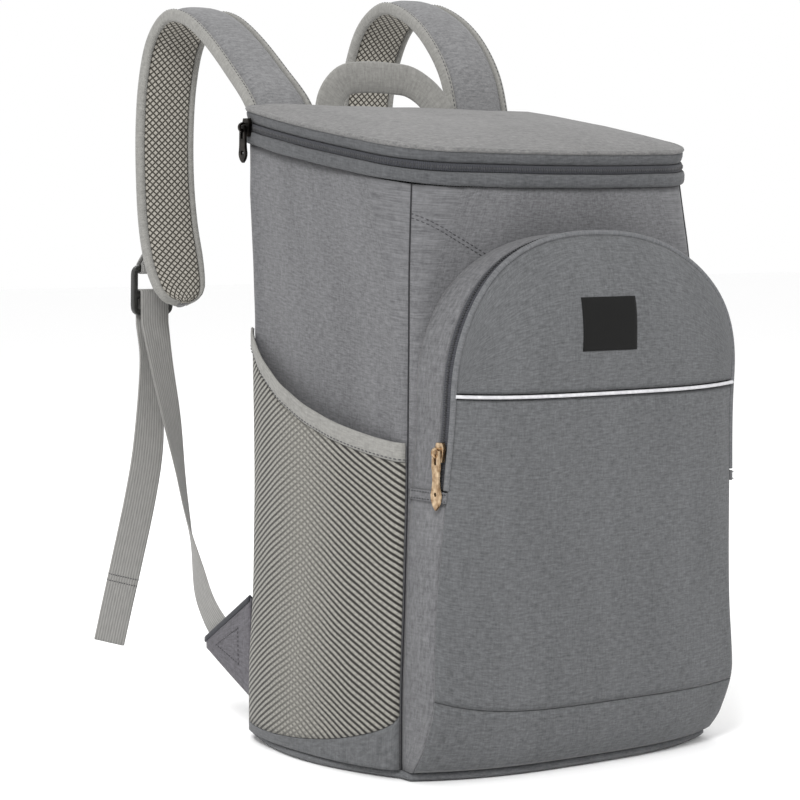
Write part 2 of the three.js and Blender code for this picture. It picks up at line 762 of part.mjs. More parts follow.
function handle() {
  const top = BACK_HEIGHT + HANDLE_HEIGHT - HANDLE_WEB / 2;
  const spring = top - HANDLE_RISE;
  const foot = BACK_HEIGHT - HANDLE_LEG_ROOT;
  const half = HANDLE_SPAN / 2;
  const leg = [foot, BACK_HEIGHT - 8, BACK_HEIGHT, spring].map((z) => [half, z]);
  const arch = steps(10).slice(1, -1).map((t) => {
    const angle = t * Math.PI;
    const power = 0.72;
    const cos = Math.cos(angle);
    return [half * Math.sign(cos) * Math.abs(cos) ** power, spring + (top - spring) * Math.sin(angle) ** power];
  });
  const line = [...leg, ...arch, ...[...leg].reverse().map(([x, z]) => [-x, z])];
  const behindLid = LID_OVERHANG + 1 + SEAM_GAP;
  const depth = (z) => {
    if (z < BACK_HEIGHT - 4) return SEAM_GAP;
    return behindLid + HANDLE_BACK_BOW * THREE.MathUtils.clamp((z - spring) / (top - spring), 0, 1);
  };
  const grid = (out) =>
    line.map(([x, z], i) => {
      const a = line[Math.max(i - 1, 0)];
      const b = line[Math.min(i + 1, line.length - 1)];
      const long = Math.hypot(b[0] - a[0], b[1] - a[1]);
      const across = [(b[1] - a[1]) / long, -(b[0] - a[0]) / long];
      return [-0.5, 0, 0.5].map((u) => {
        const w = u * HANDLE_WEB;
        return [x + across[0] * w, BACK_Y + depth(z) + out, z + across[1] * w];
      });
    });
  return sheet(grid(HANDLE_THICKNESS), grid(0));
}

// Flat bands along a route. Each row has a place, and a turn about the route in degrees.

function bandGrid(route, width, levels) {
  const places = route.map(({ place }) => new THREE.Vector3(...place));
  return levels.map((levelOf) =>
    route.map(({ turn = 0, wide = 1, thick = 1 }, i) => {
      const a = places[Math.max(i - 1, 0)];
      const b = places[Math.min(i + 1, places.length - 1)];
      const along = new THREE.Vector3().subVectors(b, a).normalize();
      const across = new THREE.Vector3(1, 0, 0).addScaledVector(along, -along.x).normalize();
      across.applyAxisAngle(along, THREE.MathUtils.degToRad(turn));
      const out = new THREE.Vector3().crossVectors(across, along).normalize();
      return levelOf.map(([u, level]) =>
        places[i]
          .clone()
          .addScaledVector(across, (u * width * wide) / 2)
          .addScaledVector(out, level * thick)
          .toArray(),
      );
    }),
  );
}

function mirrored(grid, sign) {
  return grid.map((row) => row.map(([x, y, z]) => [sign * x, y, z]));
}

function smoothRoute(rows, keys, count) {
  const curve = new THREE.CatmullRomCurve3(rows.map(({ place }) => new THREE.Vector3(...place)), false, "centripetal");
  return steps(count).map((t) => {
    const spot = t * (rows.length - 1);
    const i = Math.min(Math.floor(spot), rows.length - 2);
    const row = { place: curve.getPoint(t).toArray() };
    for (const key of keys) row[key] = THREE.MathUtils.lerp(rows[i][key], rows[i + 1][key], spot - i);
    return row;
  });
}

// Shoulder straps: the pad with its net lining towards the wearer, and a binding along both edges

const STRAP_STEPS = 20;

function strapRows(name) {
  const rows = STRAP_ROUTES[name].map(({ out, height, wide }) => ({ place: [STRAP_X, BACK_Y + out, height], wide }));
  return smoothRoute(rows, ["wide"], STRAP_STEPS);
}

function strap({ name, sign }) {
  const rows = strapRows(name);
  const padWidth = STRAP_WIDTH - 2 * STRAP_BINDING_WIDTH;
  const crown = [-1, -0.5, 0.5, 1].map((u) => [u, STRAP_THICKNESS * (1 - 0.4 * Math.abs(u) ** 3)]);
  const flat = (level) => [-1, -0.5, 0.5, 1].map((u) => [u, level]);
  const band = (levels) => bandGrid(rows, padWidth, levels).map((grid) => mirrored(grid, sign));
  add(`strap_pad_${name}`, sheet(...band([crown, flat(SEAM_GAP)])), "body");
  add(`strap_mesh_${name}`, sheet(...band([flat(0), flat(-STRAP_NET_THICKNESS)])), "net");
  for (const { edge, side } of [{ edge: "inner", side: -1 }, { edge: "outer", side: 1 }]) {
    const low = -STRAP_NET_THICKNESS - STRAP_BINDING_PROUD;
    const high = STRAP_THICKNESS * 0.6 + STRAP_BINDING_PROUD;
    const from = side * (1 + (2 * SEAM_GAP) / padWidth);
    const to = (side * STRAP_WIDTH) / padWidth;
    const [top, bottom] = bandGrid(rows, padWidth, [high, low].map((level) => [[from, level], [to, level]]));
    add(`strap_binding_${edge}_${name}`, sheet(mirrored(top, sign), mirrored(bottom, sign)), "webbing");
  }
}

// Buckles: a frame with two slots. The strap's loop holds the upper bar, and the webbing folds over the lower.

const BUCKLE_TILT = 2;
const BAND_ROOM = WEBBING_THICKNESS / 2 + 2 * SEAM_GAP;

function bucklePoint(name, up, forward) {
  const tilt = THREE.MathUtils.degToRad(BUCKLE_TILT);
  return [
    STRAP_X,
    BACK_Y + BUCKLE_HANG[name] - up * Math.sin(tilt) + forward * Math.cos(tilt),
    BUCKLE_HANG.height + up * Math.cos(tilt) + forward * Math.sin(tilt),
  ];
}

const UPPER_BAR = BUCKLE_HEIGHT / 2 - BUCKLE_BAR / 2;
const MIDDLE_BAR = -BUCKLE_HEIGHT * 0.1;

function buckle({ name, sign }) {
  const [w, h, bar] = [BUCKLE_WIDTH / 2, BUCKLE_HEIGHT / 2, BUCKLE_BAR];
  const round = 7;
  const shape = new THREE.Shape();
  shape.moveTo(-w + round, -h);
  shape.lineTo(w - round, -h);
  shape.absarc(w - round, -h + round, round, -Math.PI / 2, 0);
  shape.lineTo(w, h - round);
  shape.absarc(w - round, h - round, round, 0, Math.PI / 2);
  shape.lineTo(-w + round, h);
  shape.absarc(-w + round, h - round, round, Math.PI / 2, Math.PI);
  shape.lineTo(-w, -h + round);
  shape.absarc(-w + round, -h + round, round, Math.PI, Math.PI * 1.5);
  const slotHalf = WEBBING_WIDTH / 2 + 1;
  const slots = [
    [MIDDLE_BAR + bar / 2, UPPER_BAR - bar / 2],
    [-h + bar, MIDDLE_BAR - bar / 2],
  ];
  for (const [low, high] of slots) {
    const hole = new THREE.Path();
    hole.moveTo(-slotHalf, low);
    hole.lineTo(-slotHalf, high);
    hole.lineTo(slotHalf, high);
    hole.lineTo(slotHalf, low);
    shape.holes.push(hole);
  }
  const geometry = new THREE.ExtrudeGeometry(shape, { depth: BUCKLE_THICKNESS, bevelEnabled: false, curveSegments: 3 });
  geometry.translate(0, 0, -BUCKLE_THICKNESS / 2);
  geometry.rotateX(Math.PI / 2 + THREE.MathUtils.degToRad(BUCKLE_TILT));
  geometry.translate(sign * STRAP_X, BACK_Y + BUCKLE_HANG[name], BUCKLE_HANG.height);
  return geometry;
}

// Places round a bar of the buckle, from one angle to another, in degrees
function roundBar(name, bar, from, to, count) {
  const radius = BUCKLE_BAR / 2 + BAND_ROOM;
  const deep = BUCKLE_THICKNESS / 2 + BAND_ROOM;
  return steps(count).map((t) => {
    const angle = THREE.MathUtils.degToRad(from + (to - from) * t);
    const power = 0.5;
    const soft = (v) => Math.sign(v) * Math.abs(v) ** power;
    return { place: bucklePoint(name, bar + radius * soft(Math.sin(angle)), deep * soft(Math.cos(angle))), turn: 0 };
  });
}

const webbingLevels = [
  [[-1, WEBBING_THICKNESS / 2], [1, WEBBING_THICKNESS / 2]],
  [[-1, -WEBBING_THICKNESS / 2], [1, -WEBBING_THICKNESS / 2]],
];

// The loop that is sewn to the strap's face, passes round the upper bar and comes back
function buckleLoop({ name, sign }) {
  const rows = strapRows(name);
  const sewn = (z, lift) => {
    const i = rows.findIndex(({ place }, k) => k > STRAP_STEPS / 2 && place[2] < z);
    const [a, b] = [rows[i - 1].place, rows[i].place];
    const t = (z - a[2]) / (b[2] - a[2]);
    return { place: [STRAP_X, THREE.MathUtils.lerp(a[1], b[1], t) + STRAP_THICKNESS + lift, z], turn: 0 };
  };
  const near = BAND_ROOM + 0.6;
  const far = near + WEBBING_THICKNESS + SEAM_GAP;
  const around = roundBar(name, UPPER_BAR, 140, 400, 8);
  const bar = BUCKLE_HANG.height;
  const under = [sewn(bar + 50, near), sewn(bar + 36, near)];
  const route = [...under, ...around, sewn(bar + 40, far), sewn(bar + 52, far)];
  const [top, bottom] = bandGrid(route, WEBBING_WIDTH - 1, webbingLevels);
  return sheet(mirrored(top, sign), mirrored(bottom, sign));
}

// Wings and webbing

// The seam between the right wall and the back panel, where the wing is sewn in
const [WING_X, WING_Y] = wallOutline("right", bodySection(upAt(BACK_Y, WING_TIP_HEIGHT)), 0).at(-1);
const WING_FACE = WING_X + SEAM_GAP;

function wingHeights(t) {
  return {
    low: THREE.MathUtils.lerp(WING_TIP_HEIGHT - WING_HEIGHT * WING_BELOW, WING_TIP_HEIGHT - WING_TIP_WIDTH / 2, t),
    high: THREE.MathUtils.lerp(WING_TIP_HEIGHT + WING_HEIGHT * (1 - WING_BELOW), WING_TIP_HEIGHT + WING_TIP_WIDTH / 2, t),
  };
}

function wingSheet(sign, edgesOf, lift) {
  const grid = (out) =>
    steps(4).map((t) =>
      edgesOf(wingHeights(t)).map((z) => [sign * (WING_FACE + out), WING_Y + SEAM_GAP + WING_LENGTH * t, z]),
    );
  return sheet(grid(WING_THICKNESS + lift), grid(0));
}

function wing({ name, sign }) {
  const seam = WING_BINDING_WIDTH + SEAM_GAP;
  add(`wing_${name}`, wingSheet(sign, ({ low, high }) => [low, high - seam], 0), "wing");
  add(`wing_binding_${name}`, wingSheet(sign, ({ high }) => [high - WING_BINDING_WIDTH, high], 0.6), "tape");
}

// The webbing: from the wing's inner face up to the buckle, over its middle bar, and down to the free hem
function webbing({ name, sign }) {
  const inner = WING_FACE - WEBBING_THICKNESS / 2 - 1.5 * SEAM_GAP;
  const nearer = BUCKLE_HANG.left - BUCKLE_HANG[name];
  const start = { place: [inner, WING_Y + WING_LENGTH * 0.45, WING_TIP_HEIGHT + 2], turn: -90 };
  const rising = WING_WEBBING_ROUTE.map(({ out, height, along, turn }) => ({
    place: [THREE.MathUtils.lerp(STRAP_X, inner, along), BACK_Y + out - nearer * (1 - along), height],
    turn,
  })).reverse();
  const hanging = FREE_WEBBING_ROUTE.map(({ out, height, turn }) => ({
    place: [STRAP_X, BACK_Y + out - nearer, height],
    turn,
  }));
  const tail = smoothRoute(hanging, ["turn"], 9);
  const hem = tail.at(-1).place[2] + WEBBING_HEM_LENGTH;
  for (const row of tail) row.thick = row.place[2] < hem ? 2 : 1;
  const lead = smoothRoute([start, ...rising], ["turn"], 10);
  const route = [...lead, ...roundBar(name, MIDDLE_BAR, 180, 0, 6), ...tail];
  const [top, bottom] = bandGrid(route, WEBBING_WIDTH, webbingLevels);
  return sheet(mirrored(top, sign), mirrored(bottom, sign));
}

// Zip sliders. In a slider's own frame X is the pull's swinging axis, Y points away from the zip and Z is up.

const BRIDGE_INNER = 2;
const BRIDGE_OUTER = 3.8;
const BRIDGE_THICKNESS = 2;
const PULL_AXIS = SLIDER_HEIGHT + BRIDGE_INNER;

function extruded(shape, depth) {
  const geometry = new THREE.ExtrudeGeometry(shape, { depth, bevelEnabled: false, curveSegments: 6 });
  return geometry.translate(0, 0, -depth / 2);
}

function solid(geometry) {
  const bare = geometry.clone();
  bare.deleteAttribute("normal");
  bare.deleteAttribute("uv");
  const merged = mergeVertices(bare, 1e-4);
  return new wasm.Manifold(
    new wasm.Mesh({
      numProp: 3,
      vertProperties: merged.attributes.position.array,
      triVerts: new Uint32Array(merged.index.array),
    }),
  );
}

function joined(geometries) {
  const [first, ...others] = geometries.map(solid);
  const whole = others.reduce((sum, next) => sum.add(next), first).getMesh();
  const geometry = new THREE.BufferGeometry();
  geometry.setAttribute("position", new THREE.BufferAttribute(whole.vertProperties, 3));
  geometry.setIndex(new THREE.BufferAttribute(whole.triVerts, 1));
  geometry.computeVertexNormals();
  return geometry;
}

function sliderGeometry() {
  const [w, l] = [SLIDER_WIDTH / 2, SLIDER_LENGTH / 2];
  const body = new THREE.Shape();
  body.moveTo(-w * 0.6, -l);
  body.lineTo(w * 0.6, -l);
  body.lineTo(w, l * 0.4);
  body.lineTo(w * 0.7, l);
  body.lineTo(-w * 0.7, l);
  body.lineTo(-w, l * 0.4);
  const plate = extruded(body, SLIDER_HEIGHT).rotateX(Math.PI / 2).translate(0, SLIDER_HEIGHT / 2, 0);
  const bridge = new THREE.Shape();
  const root = -SLIDER_HEIGHT / 2 - BRIDGE_INNER;
  bridge.moveTo(BRIDGE_OUTER, root);
  bridge.absarc(0, 0, BRIDGE_OUTER, 0, Math.PI, false);
  bridge.lineTo(-BRIDGE_OUTER, root);
  bridge.lineTo(-BRIDGE_INNER, root);
  bridge.absarc(0, 0, BRIDGE_INNER, Math.PI, 0, true);
  bridge.lineTo(BRIDGE_INNER, root);
  const arch = extruded(bridge, BRIDGE_THICKNESS).rotateY(-Math.PI / 2).translate(0, PULL_AXIS, 0);
  return joined([plate, arch]);
}

// A pull: a plate with a slot that the slider's bridge passes through, hanging down from the bridge.
function pullGeometry({ length, width, waist, hole }) {
  const half = width / 2;
  const top = PULL_BAR / 2 + PULL_BAR_ROOM;
  const shoulder = -PULL_SLOT_LENGTH - PULL_BAR;
  const belly = -length * 0.72;
  const shape = new THREE.Shape();
  shape.moveTo(-half * 0.7, top);
  shape.lineTo(half * 0.7, top);
  shape.lineTo(half * 0.8, shoulder);
  shape.quadraticCurveTo(half * waist, (shoulder + belly) / 2, half, belly);
  shape.quadraticCurveTo(half, -length * 0.9, 0, -length);
  shape.quadraticCurveTo(-half, -length * 0.9, -half, belly);
  shape.quadraticCurveTo(-half * waist, (shoulder + belly) / 2, -half * 0.8, shoulder);
  const slotHalf = BRIDGE_THICKNESS / 2 + PULL_BAR_ROOM;
  const slot = new THREE.Path();
  slot.moveTo(-slotHalf, -PULL_BAR / 2);
  slot.lineTo(-slotHalf, -PULL_SLOT_LENGTH);
  slot.lineTo(slotHalf, -PULL_SLOT_LENGTH);
  slot.lineTo(slotHalf, -PULL_BAR / 2);
  shape.holes.push(slot);
  const eye = steps(8).slice(1).map((t) => {
    const angle = t * Math.PI * 2;
    return new THREE.Vector2(hole * Math.cos(angle), belly + hole * Math.sin(angle));
  });
  shape.holes.push(new THREE.Path(eye));
  return extruded(shape, PULL_THICKNESS).rotateX(Math.PI / 2).translate(0, PULL_AXIS, 0);
}

function zipFrame(place, outward) {
  const group = new THREE.Group();
  const away = new THREE.Vector3(...outward).normalize();
  const up = new THREE.Vector3(0, 0, 1);
  const axis = new THREE.Vector3().crossVectors(away, up);
  group.quaternion.setFromRotationMatrix(new THREE.Matrix4().makeBasis(axis, away, up));
  group.position.set(...place);
  backpack.add(group);
  return group;
}

function pocketSlider() {
  const low = POCKET_SLIDER_HEIGHT - SLIDER_LENGTH / 2;
  const y = pocketEdgeY(POCKET_SLIDER_HEIGHT) + GUSSET_FRONT + 1 + SEAM_GAP + SLIDER_WIDTH / 2;
  const frame = zipFrame([-pocketHalfWidth(low) - SEAM_GAP, y, POCKET_SLIDER_HEIGHT], [-1, 0, 0]);
  add("pocket_slider", sliderGeometry(), "brass", frame);
  const size = { length: POCKET_PULL_LENGTH, width: POCKET_PULL_WIDTH, waist: 0.35, hole: POCKET_PULL_HOLE };
  add("pocket_pull", pullGeometry(size), "brass", frame);
}

function lidSlider() {
  const section = lidSection();
  const x = -section.back - LID_OVERHANG - 2 * SEAM_GAP;
  const y = BACK_Y - section.backRadius;
  const frame = zipFrame([x, y, rimPlane(y) + LID_ZIP_LOW + LID_ZIP_HEIGHT / 2], [-1, 0, 0]);
  add("lid_slider", sliderGeometry(), "black_metal", frame);
  const size = { length: LID_PULL_LENGTH, width: LID_PULL_WIDTH, waist: 0.8, hole: LID_PULL_HOLE };
  add("lid_pull", pullGeometry(size), "black_metal", frame);
}

// The whole backpack

add("base_panel", basePanel(), "body");
add("back_panel", wall("back"), "net");
add("side_panel_left", wall("left"), "body");
add("side_panel_right", wall("right"), "body");
add("front_panel", wall("front"), "body");
add("body_rim", lidBand(LID_OVERHANG, RIM_WALL, SEAM_GAP, RIM_TOP), "body");
add("lid_zipper", lidBand(LID_OVERHANG - 1, RIM_WALL, LID_ZIP_LOW, LID_ZIP_TOP), "tape");
add("lid_panel", lidPanel(), "lid");
lidSlider();
pocketPanels();
add("reflective_piping", reflectivePiping(), "reflective");
add("patch", patch(), "patch");
add("pocket_gusset", pocketGusset(), "pocket");
add("pocket_zipper", pocketZip(), "tape");
add("pocket_piping", pocketPiping(), "body");
pocketSlider();
add("carry_handle", handle(), "webbing");
for (const side of SIDES) {
  const { name, sign } = side;
  add(`zipper_tab_${name}`, zipTab(sign), "pocket");
  netPocket(side);
  strap(side);
  add(`buckle_${name}`, buckle(side), "plastic");
  add(`buckle_loop_${name}`, buckleLoop(side), "webbing");
  wing(side);
  add(`webbing_${name}`, webbing(side), "webbing");
}

export default backpack;
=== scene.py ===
# The looks of the grey cooler backpack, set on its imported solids. Metres, in the solids' own frame.
import math

import bmesh
import bpy
import mathutils.bvhtree
import numpy as np
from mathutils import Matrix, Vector


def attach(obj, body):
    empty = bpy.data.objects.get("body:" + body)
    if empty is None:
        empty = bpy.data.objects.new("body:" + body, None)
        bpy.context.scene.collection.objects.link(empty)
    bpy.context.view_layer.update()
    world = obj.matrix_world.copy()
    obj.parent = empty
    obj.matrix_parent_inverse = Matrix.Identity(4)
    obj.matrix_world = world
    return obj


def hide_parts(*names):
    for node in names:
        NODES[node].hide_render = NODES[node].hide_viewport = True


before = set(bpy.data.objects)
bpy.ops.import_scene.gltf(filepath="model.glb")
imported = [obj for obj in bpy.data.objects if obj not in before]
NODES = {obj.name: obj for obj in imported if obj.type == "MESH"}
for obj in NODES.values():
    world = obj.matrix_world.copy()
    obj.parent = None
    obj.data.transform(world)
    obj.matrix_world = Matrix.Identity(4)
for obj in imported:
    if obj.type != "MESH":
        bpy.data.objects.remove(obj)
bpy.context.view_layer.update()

# Sizes in millimetres, the same as the solids'
BASE_WIDTH = 266.0
BACK_Y = 100.0
BACK_HEIGHT = 428.0
FRONT_HEIGHT = 396.0
WALL_FOOT = 6.35
SEAM_GAP = 0.35
BACK_CORNER = 16.0
FRONT_CORNER = 26.0
LID_CORNER = 48.0
FRONT_BOW = 7.0
SIDE_BOW = 3.0
LID_SLOPE = (BACK_HEIGHT - FRONT_HEIGHT) / (2 * BACK_Y)
POCKET_HALF_WIDTH = 121.0
POCKET_SPRING = 260.0
POCKET_RISE = 104.0
POCKET_TOP = POCKET_SPRING + POCKET_RISE
ARCH_POWER = 2.3
POCKET_DEPTH = 45.0
POCKET_CROWN = 13.0
# The zip's tape shows wider in the photo than in the solids, where it is 9 mm. The dark band drawn here is the
# tape plus painted shadow of the channel between the pocket's gusset and welt.
ZIP_TAPE_AND_SHADOW_WIDTH = 12.0
ZIP_END = 196.0
GUSSET_FRONT = 2.75
STRAP_X = 89.0
STRAP_WIDTH = 54.0
WEBBING_WIDTH = 25.0
WEBBING_HEM = 62.0
WING_LENGTH = 62.0
WING_MIDDLE = 60.0
WING_ROOT = 76.0
NET_FRONT_HEIGHT = 226.0
NET_BACK_HEIGHT = 296.0
NET_FRONT_SEAM = 43.0
NET_BACK_SEAM = 13.0
PATCH_X = (-28.0, 20.0)
PATCH_Z = (286.0, 322.0)
# A wave texture at scale 1 repeats after this many metres.
WAVE_LENGTH = 0.314

BODY_SECTIONS = [
    {"up": 0.0, "back": 1.0, "front": 1.0, "depth": 0.95, "corner": 0.4},
    {"up": 0.12, "back": 0.995, "front": 0.995, "depth": 0.95, "corner": 0.33},
    {"up": 0.3, "back": 0.965, "front": 0.98, "depth": 0.96, "corner": 0.33},
    {"up": 0.5, "back": 0.96, "front": 0.97, "depth": 0.975, "corner": 0.35},
    {"up": 0.7, "back": 0.965, "front": 0.97, "depth": 0.985, "corner": 0.45},
    {"up": 0.85, "back": 0.98, "front": 0.98, "depth": 1.0, "corner": 0.85},
    {"up": 0.94, "back": 0.99, "front": 0.985, "depth": 1.01, "corner": 1.35},
    {"up": 1.0, "back": 0.995, "front": 0.99, "depth": 1.02, "corner": 1.75},
]
POCKET_SECTIONS = [
    {"up": 0.0, "wide": 1.08, "edge": 0.06, "crown": 2.1},
    {"up": 0.06, "wide": 1.09, "edge": 0.46, "crown": 1.56},
    {"up": 0.16, "wide": 1.085, "edge": 0.74, "crown": 0.9},
    {"up": 0.28, "wide": 1.071, "edge": 0.71, "crown": 1.0},
    {"up": 0.52, "wide": 1.029, "edge": 0.81, "crown": 1.0},
    {"up": 0.7, "wide": 1.0, "edge": 0.91, "crown": 1.0},
    {"up": 0.86, "wide": 1.0, "edge": 1.0, "crown": 0.95},
    {"up": 1.0, "wide": 1.0, "edge": 0.87, "crown": 0.9},
]
# Middle lines of the straps and the webbing: out behind the back panel, height, and width or turn
STRAP_ROUTES = {
    "left": [
        (8.8, 380, 1.0), (8.8, 404, 1.0), (12.4, 428, 1.0), (17, 452, 1.0), (50, 481, 0.95), (84, 506, 0.92),
        (114, 521, 0.9), (141, 523, 0.9), (163, 506, 0.9), (175, 476, 0.9), (180, 440, 0.9), (180, 402, 0.9),
        (176, 368, 0.92), (168, 340, 0.92), (160, 320, 0.8), (154, 307, 0.58),
    ],
    "right": [
        (8.8, 380, 1.0), (8.8, 404, 1.0), (12.4, 428, 1.0), (15, 452, 1.0), (26, 483, 1.0), (50, 511, 1.0),
        (80, 529, 0.96), (110, 535, 0.93), (138, 520, 0.92), (157, 486, 0.9), (165, 446, 0.9),
        (166, 404, 0.9), (163, 368, 0.92), (156, 340, 0.92), (149, 320, 0.8), (144, 307, 0.58),
    ],
}
FREE_WEBBING = [
    (207, 290, 0), (207, 264, 20), (207, 228, 5), (212, 188, -15),
    (225, 148, -25), (247, 96, -34), (262, 62, -36), (277, 27, -36),
]
WING_WEBBING = [
    (199, 290, 0, 0), (190, 260, 0, -12), (172, 220, 0.06, -24), (150, 178, 0.2, -44),
    (123, 138, 0.42, -58), (86, 102, 0.78, -86), (62, 83, 0.95, -89), (42, 70, 1.0, -90),
]
BUCKLE_HANG = {"left": 203, "right": 192}
BUCKLE_Z = 316.0
SIDES = {"left": -1, "right": 1}


# Curves through tables

def flowing(places, values, at):
    """A smooth curve through a table's rows that never passes over them."""
    places = np.asarray(places, float)
    values = np.asarray(values, float)
    at = np.clip(np.asarray(at, float), places[0], places[-1])
    step = np.diff(places)
    rise = np.diff(values) / step
    slope = np.zeros(len(values))
    product = rise[:-1] * rise[1:]
    both = np.where(product > 0, rise[:-1] + rise[1:], 1.0)
    slope[1:-1] = np.where(product > 0, 2 * product / both, 0.0)
    slope[0] = rise[0]
    slope[-1] = rise[-1]
    i = np.clip(np.searchsorted(places, at, side="right") - 1, 0, len(step) - 1)
    t = (at - places[i]) / step[i]
    start = (2 * t**3 - 3 * t**2 + 1) * values[i] + (t**3 - 2 * t**2 + t) * step[i] * slope[i]
    end = (3 * t**2 - 2 * t**3) * values[i + 1] + (t**3 - t**2) * step[i] * slope[i + 1]
    return start + end


def share(table, key, up):
    return flowing([row["up"] for row in table], [row[key] for row in table], up)


def ripple(points, size, seed):
    """The soft unevenness of cloth, from -1 to 1, in waves about as long as size."""
    rng = np.random.default_rng(seed)
    total = np.zeros(points.shape[:-1])
    for _ in range(8):
        way = rng.normal(size=3)
        way = way / np.linalg.norm(way)
        turns = points @ way / (size * rng.uniform(0.7, 1.6)) + rng.uniform()
        total += np.sin(2 * np.pi * turns)
    return total / 4


def crease(points, start, end, width):
    """1 on a fold between two places, falling to 0 beside it."""
    a = np.asarray(start, float)
    b = np.asarray(end, float)
    along = b - a
    t = np.clip((points - a) @ along / (along @ along), 0, 1)
    off = np.linalg.norm(points - a - t[..., None] * along, axis=-1)
    return np.exp(-((off / width) ** 2)) * np.sin(np.pi * np.clip(t, 0.04, 0.96))


# The box, the pocket and the nets as surfaces

def body_section(up):
    half = BASE_WIDTH / 2
    return {
        "back": half * share(BODY_SECTIONS, "back", up),
        "front": half * share(BODY_SECTIONS, "front", up),
        "front_y": -BACK_Y * share(BODY_SECTIONS, "depth", up),
        "radius": FRONT_CORNER * share(BODY_SECTIONS, "corner", up),
    }


def arc(x, y, radius, start, end, count):
    angle = np.radians(np.linspace(start, end, count + 1))
    return np.stack([x + radius * np.cos(angle), y + radius * np.sin(angle)], axis=1)


def bowed(a, b, bow, count):
    t = np.linspace(0, 1, count + 1)[1:-1, None]
    along = b - a
    out = np.array([along[1], -along[0]]) / np.hypot(*along)
    return a + along * t + out * bow * 4 * t * (1 - t)


def wall_outline(wall, section, inset=0.0, corner=6, side=26):
    """One wall's outline from seam to seam, anticlockwise from above."""
    front_r = max(section["radius"] - inset, 1)
    back_r = max(BACK_CORNER - inset, 1)
    front_x = section["front"] - inset - front_r
    back_x = section["back"] - inset - back_r
    front_y = section["front_y"] + inset + front_r
    back_y = BACK_Y - inset - back_r
    front_right = (front_x, front_y, front_r)
    front_left = (-front_x, front_y, front_r)
    back_right = (back_x, back_y, back_r)
    back_left = (-back_x, back_y, back_r)
    ends = {
        "front": (arc(*front_left, 225, 270, corner), arc(*front_right, 270, 315, corner)),
        "right": (arc(*front_right, 315, 360, corner), arc(*back_right, 0, 45, corner)),
        "back": (arc(*back_right, 45, 90, corner), arc(*back_left, 90, 135, corner)),
        "left": (arc(*back_left, 135, 180, corner), arc(*front_left, 180, 225, corner)),
    }
    first, second = ends[wall]
    bow = {"front": FRONT_BOW, "back": 0.0}.get(wall, section.get("bow", SIDE_BOW))
    return np.concatenate([first, bowed(first[-1], second[0], bow, side), second])


def rim_plane(y):
    return FRONT_HEIGHT + (y + BACK_Y) * LID_SLOPE


def up_at(y, z):
    return (z - WALL_FOOT) / (rim_plane(y) - SEAM_GAP - WALL_FOOT)


def body_front(x, z):
    section = body_section(up_at(-BACK_Y, z))
    flat = section["front"] - section["radius"]
    q = np.clip(x / flat, -1, 1)
    past = np.maximum(np.abs(x) - flat, 0)
    drop = section["radius"] - np.sqrt(np.maximum(section["radius"] ** 2 - past**2, 0))
    return section["front_y"] - FRONT_BOW * (1 - q * q) + drop


def pocket_half(z):
    return POCKET_HALF_WIDTH * share(POCKET_SECTIONS, "wide", z / POCKET_TOP)


def arch_height(q, inset=0.0):
    rise = np.maximum(1 - np.abs(q) ** ARCH_POWER, 0) ** (1 / ARCH_POWER)
    return POCKET_SPRING + (POCKET_RISE - inset) * rise


def pocket_edge_y(z):
    return -BACK_Y - POCKET_DEPTH * share(POCKET_SECTIONS, "edge", z / POCKET_TOP)


def pocket_face(x, z):
    across = np.abs(x) / pocket_half(z)
    rise = np.maximum(z - POCKET_SPRING, 0) / POCKET_RISE
    near = np.minimum((across**ARCH_POWER + rise**ARCH_POWER) ** (1 / ARCH_POWER), 1)
    crown = POCKET_CROWN * share(POCKET_SECTIONS, "crown", z / POCKET_TOP)
    return pocket_edge_y(z) - crown * (1 - near**3)


def corner_seam(section):
    """How far across the upright seam of a front corner lies, less the room of what is sewn to it."""
    return section["front"] - section["radius"] * (1 - math.sqrt(0.5)) - 0.7


# Meshes from grids of points

def linked(name, data):
    piece = bpy.data.objects.new(name, data)
    bpy.context.scene.collection.objects.link(piece)
    return piece


def normals_of(grid, wrap):
    if wrap:
        padded = np.concatenate([grid[:, -1:], grid, grid[:, :1]], axis=1)
        across = (padded[:, 2:] - padded[:, :-2]) / 2
    else:
        across = np.gradient(grid, axis=1)
    along = np.gradient(grid, axis=0)
    normal = np.cross(across, along)
    return normal / np.maximum(np.linalg.norm(normal, axis=-1, keepdims=True), 1e-9)


def facing(grid, centre, wrap=False):
    """The grid with its columns in the order that makes its faces look away from a centre."""
    out = np.sum(normals_of(grid, wrap) * (grid - np.asarray(centre, float)))
    return grid if out > 0 else grid[:, ::-1]


def puffed(grid, amount, wrap=False):
    return grid + normals_of(grid, wrap) * np.asarray(amount)[..., None]


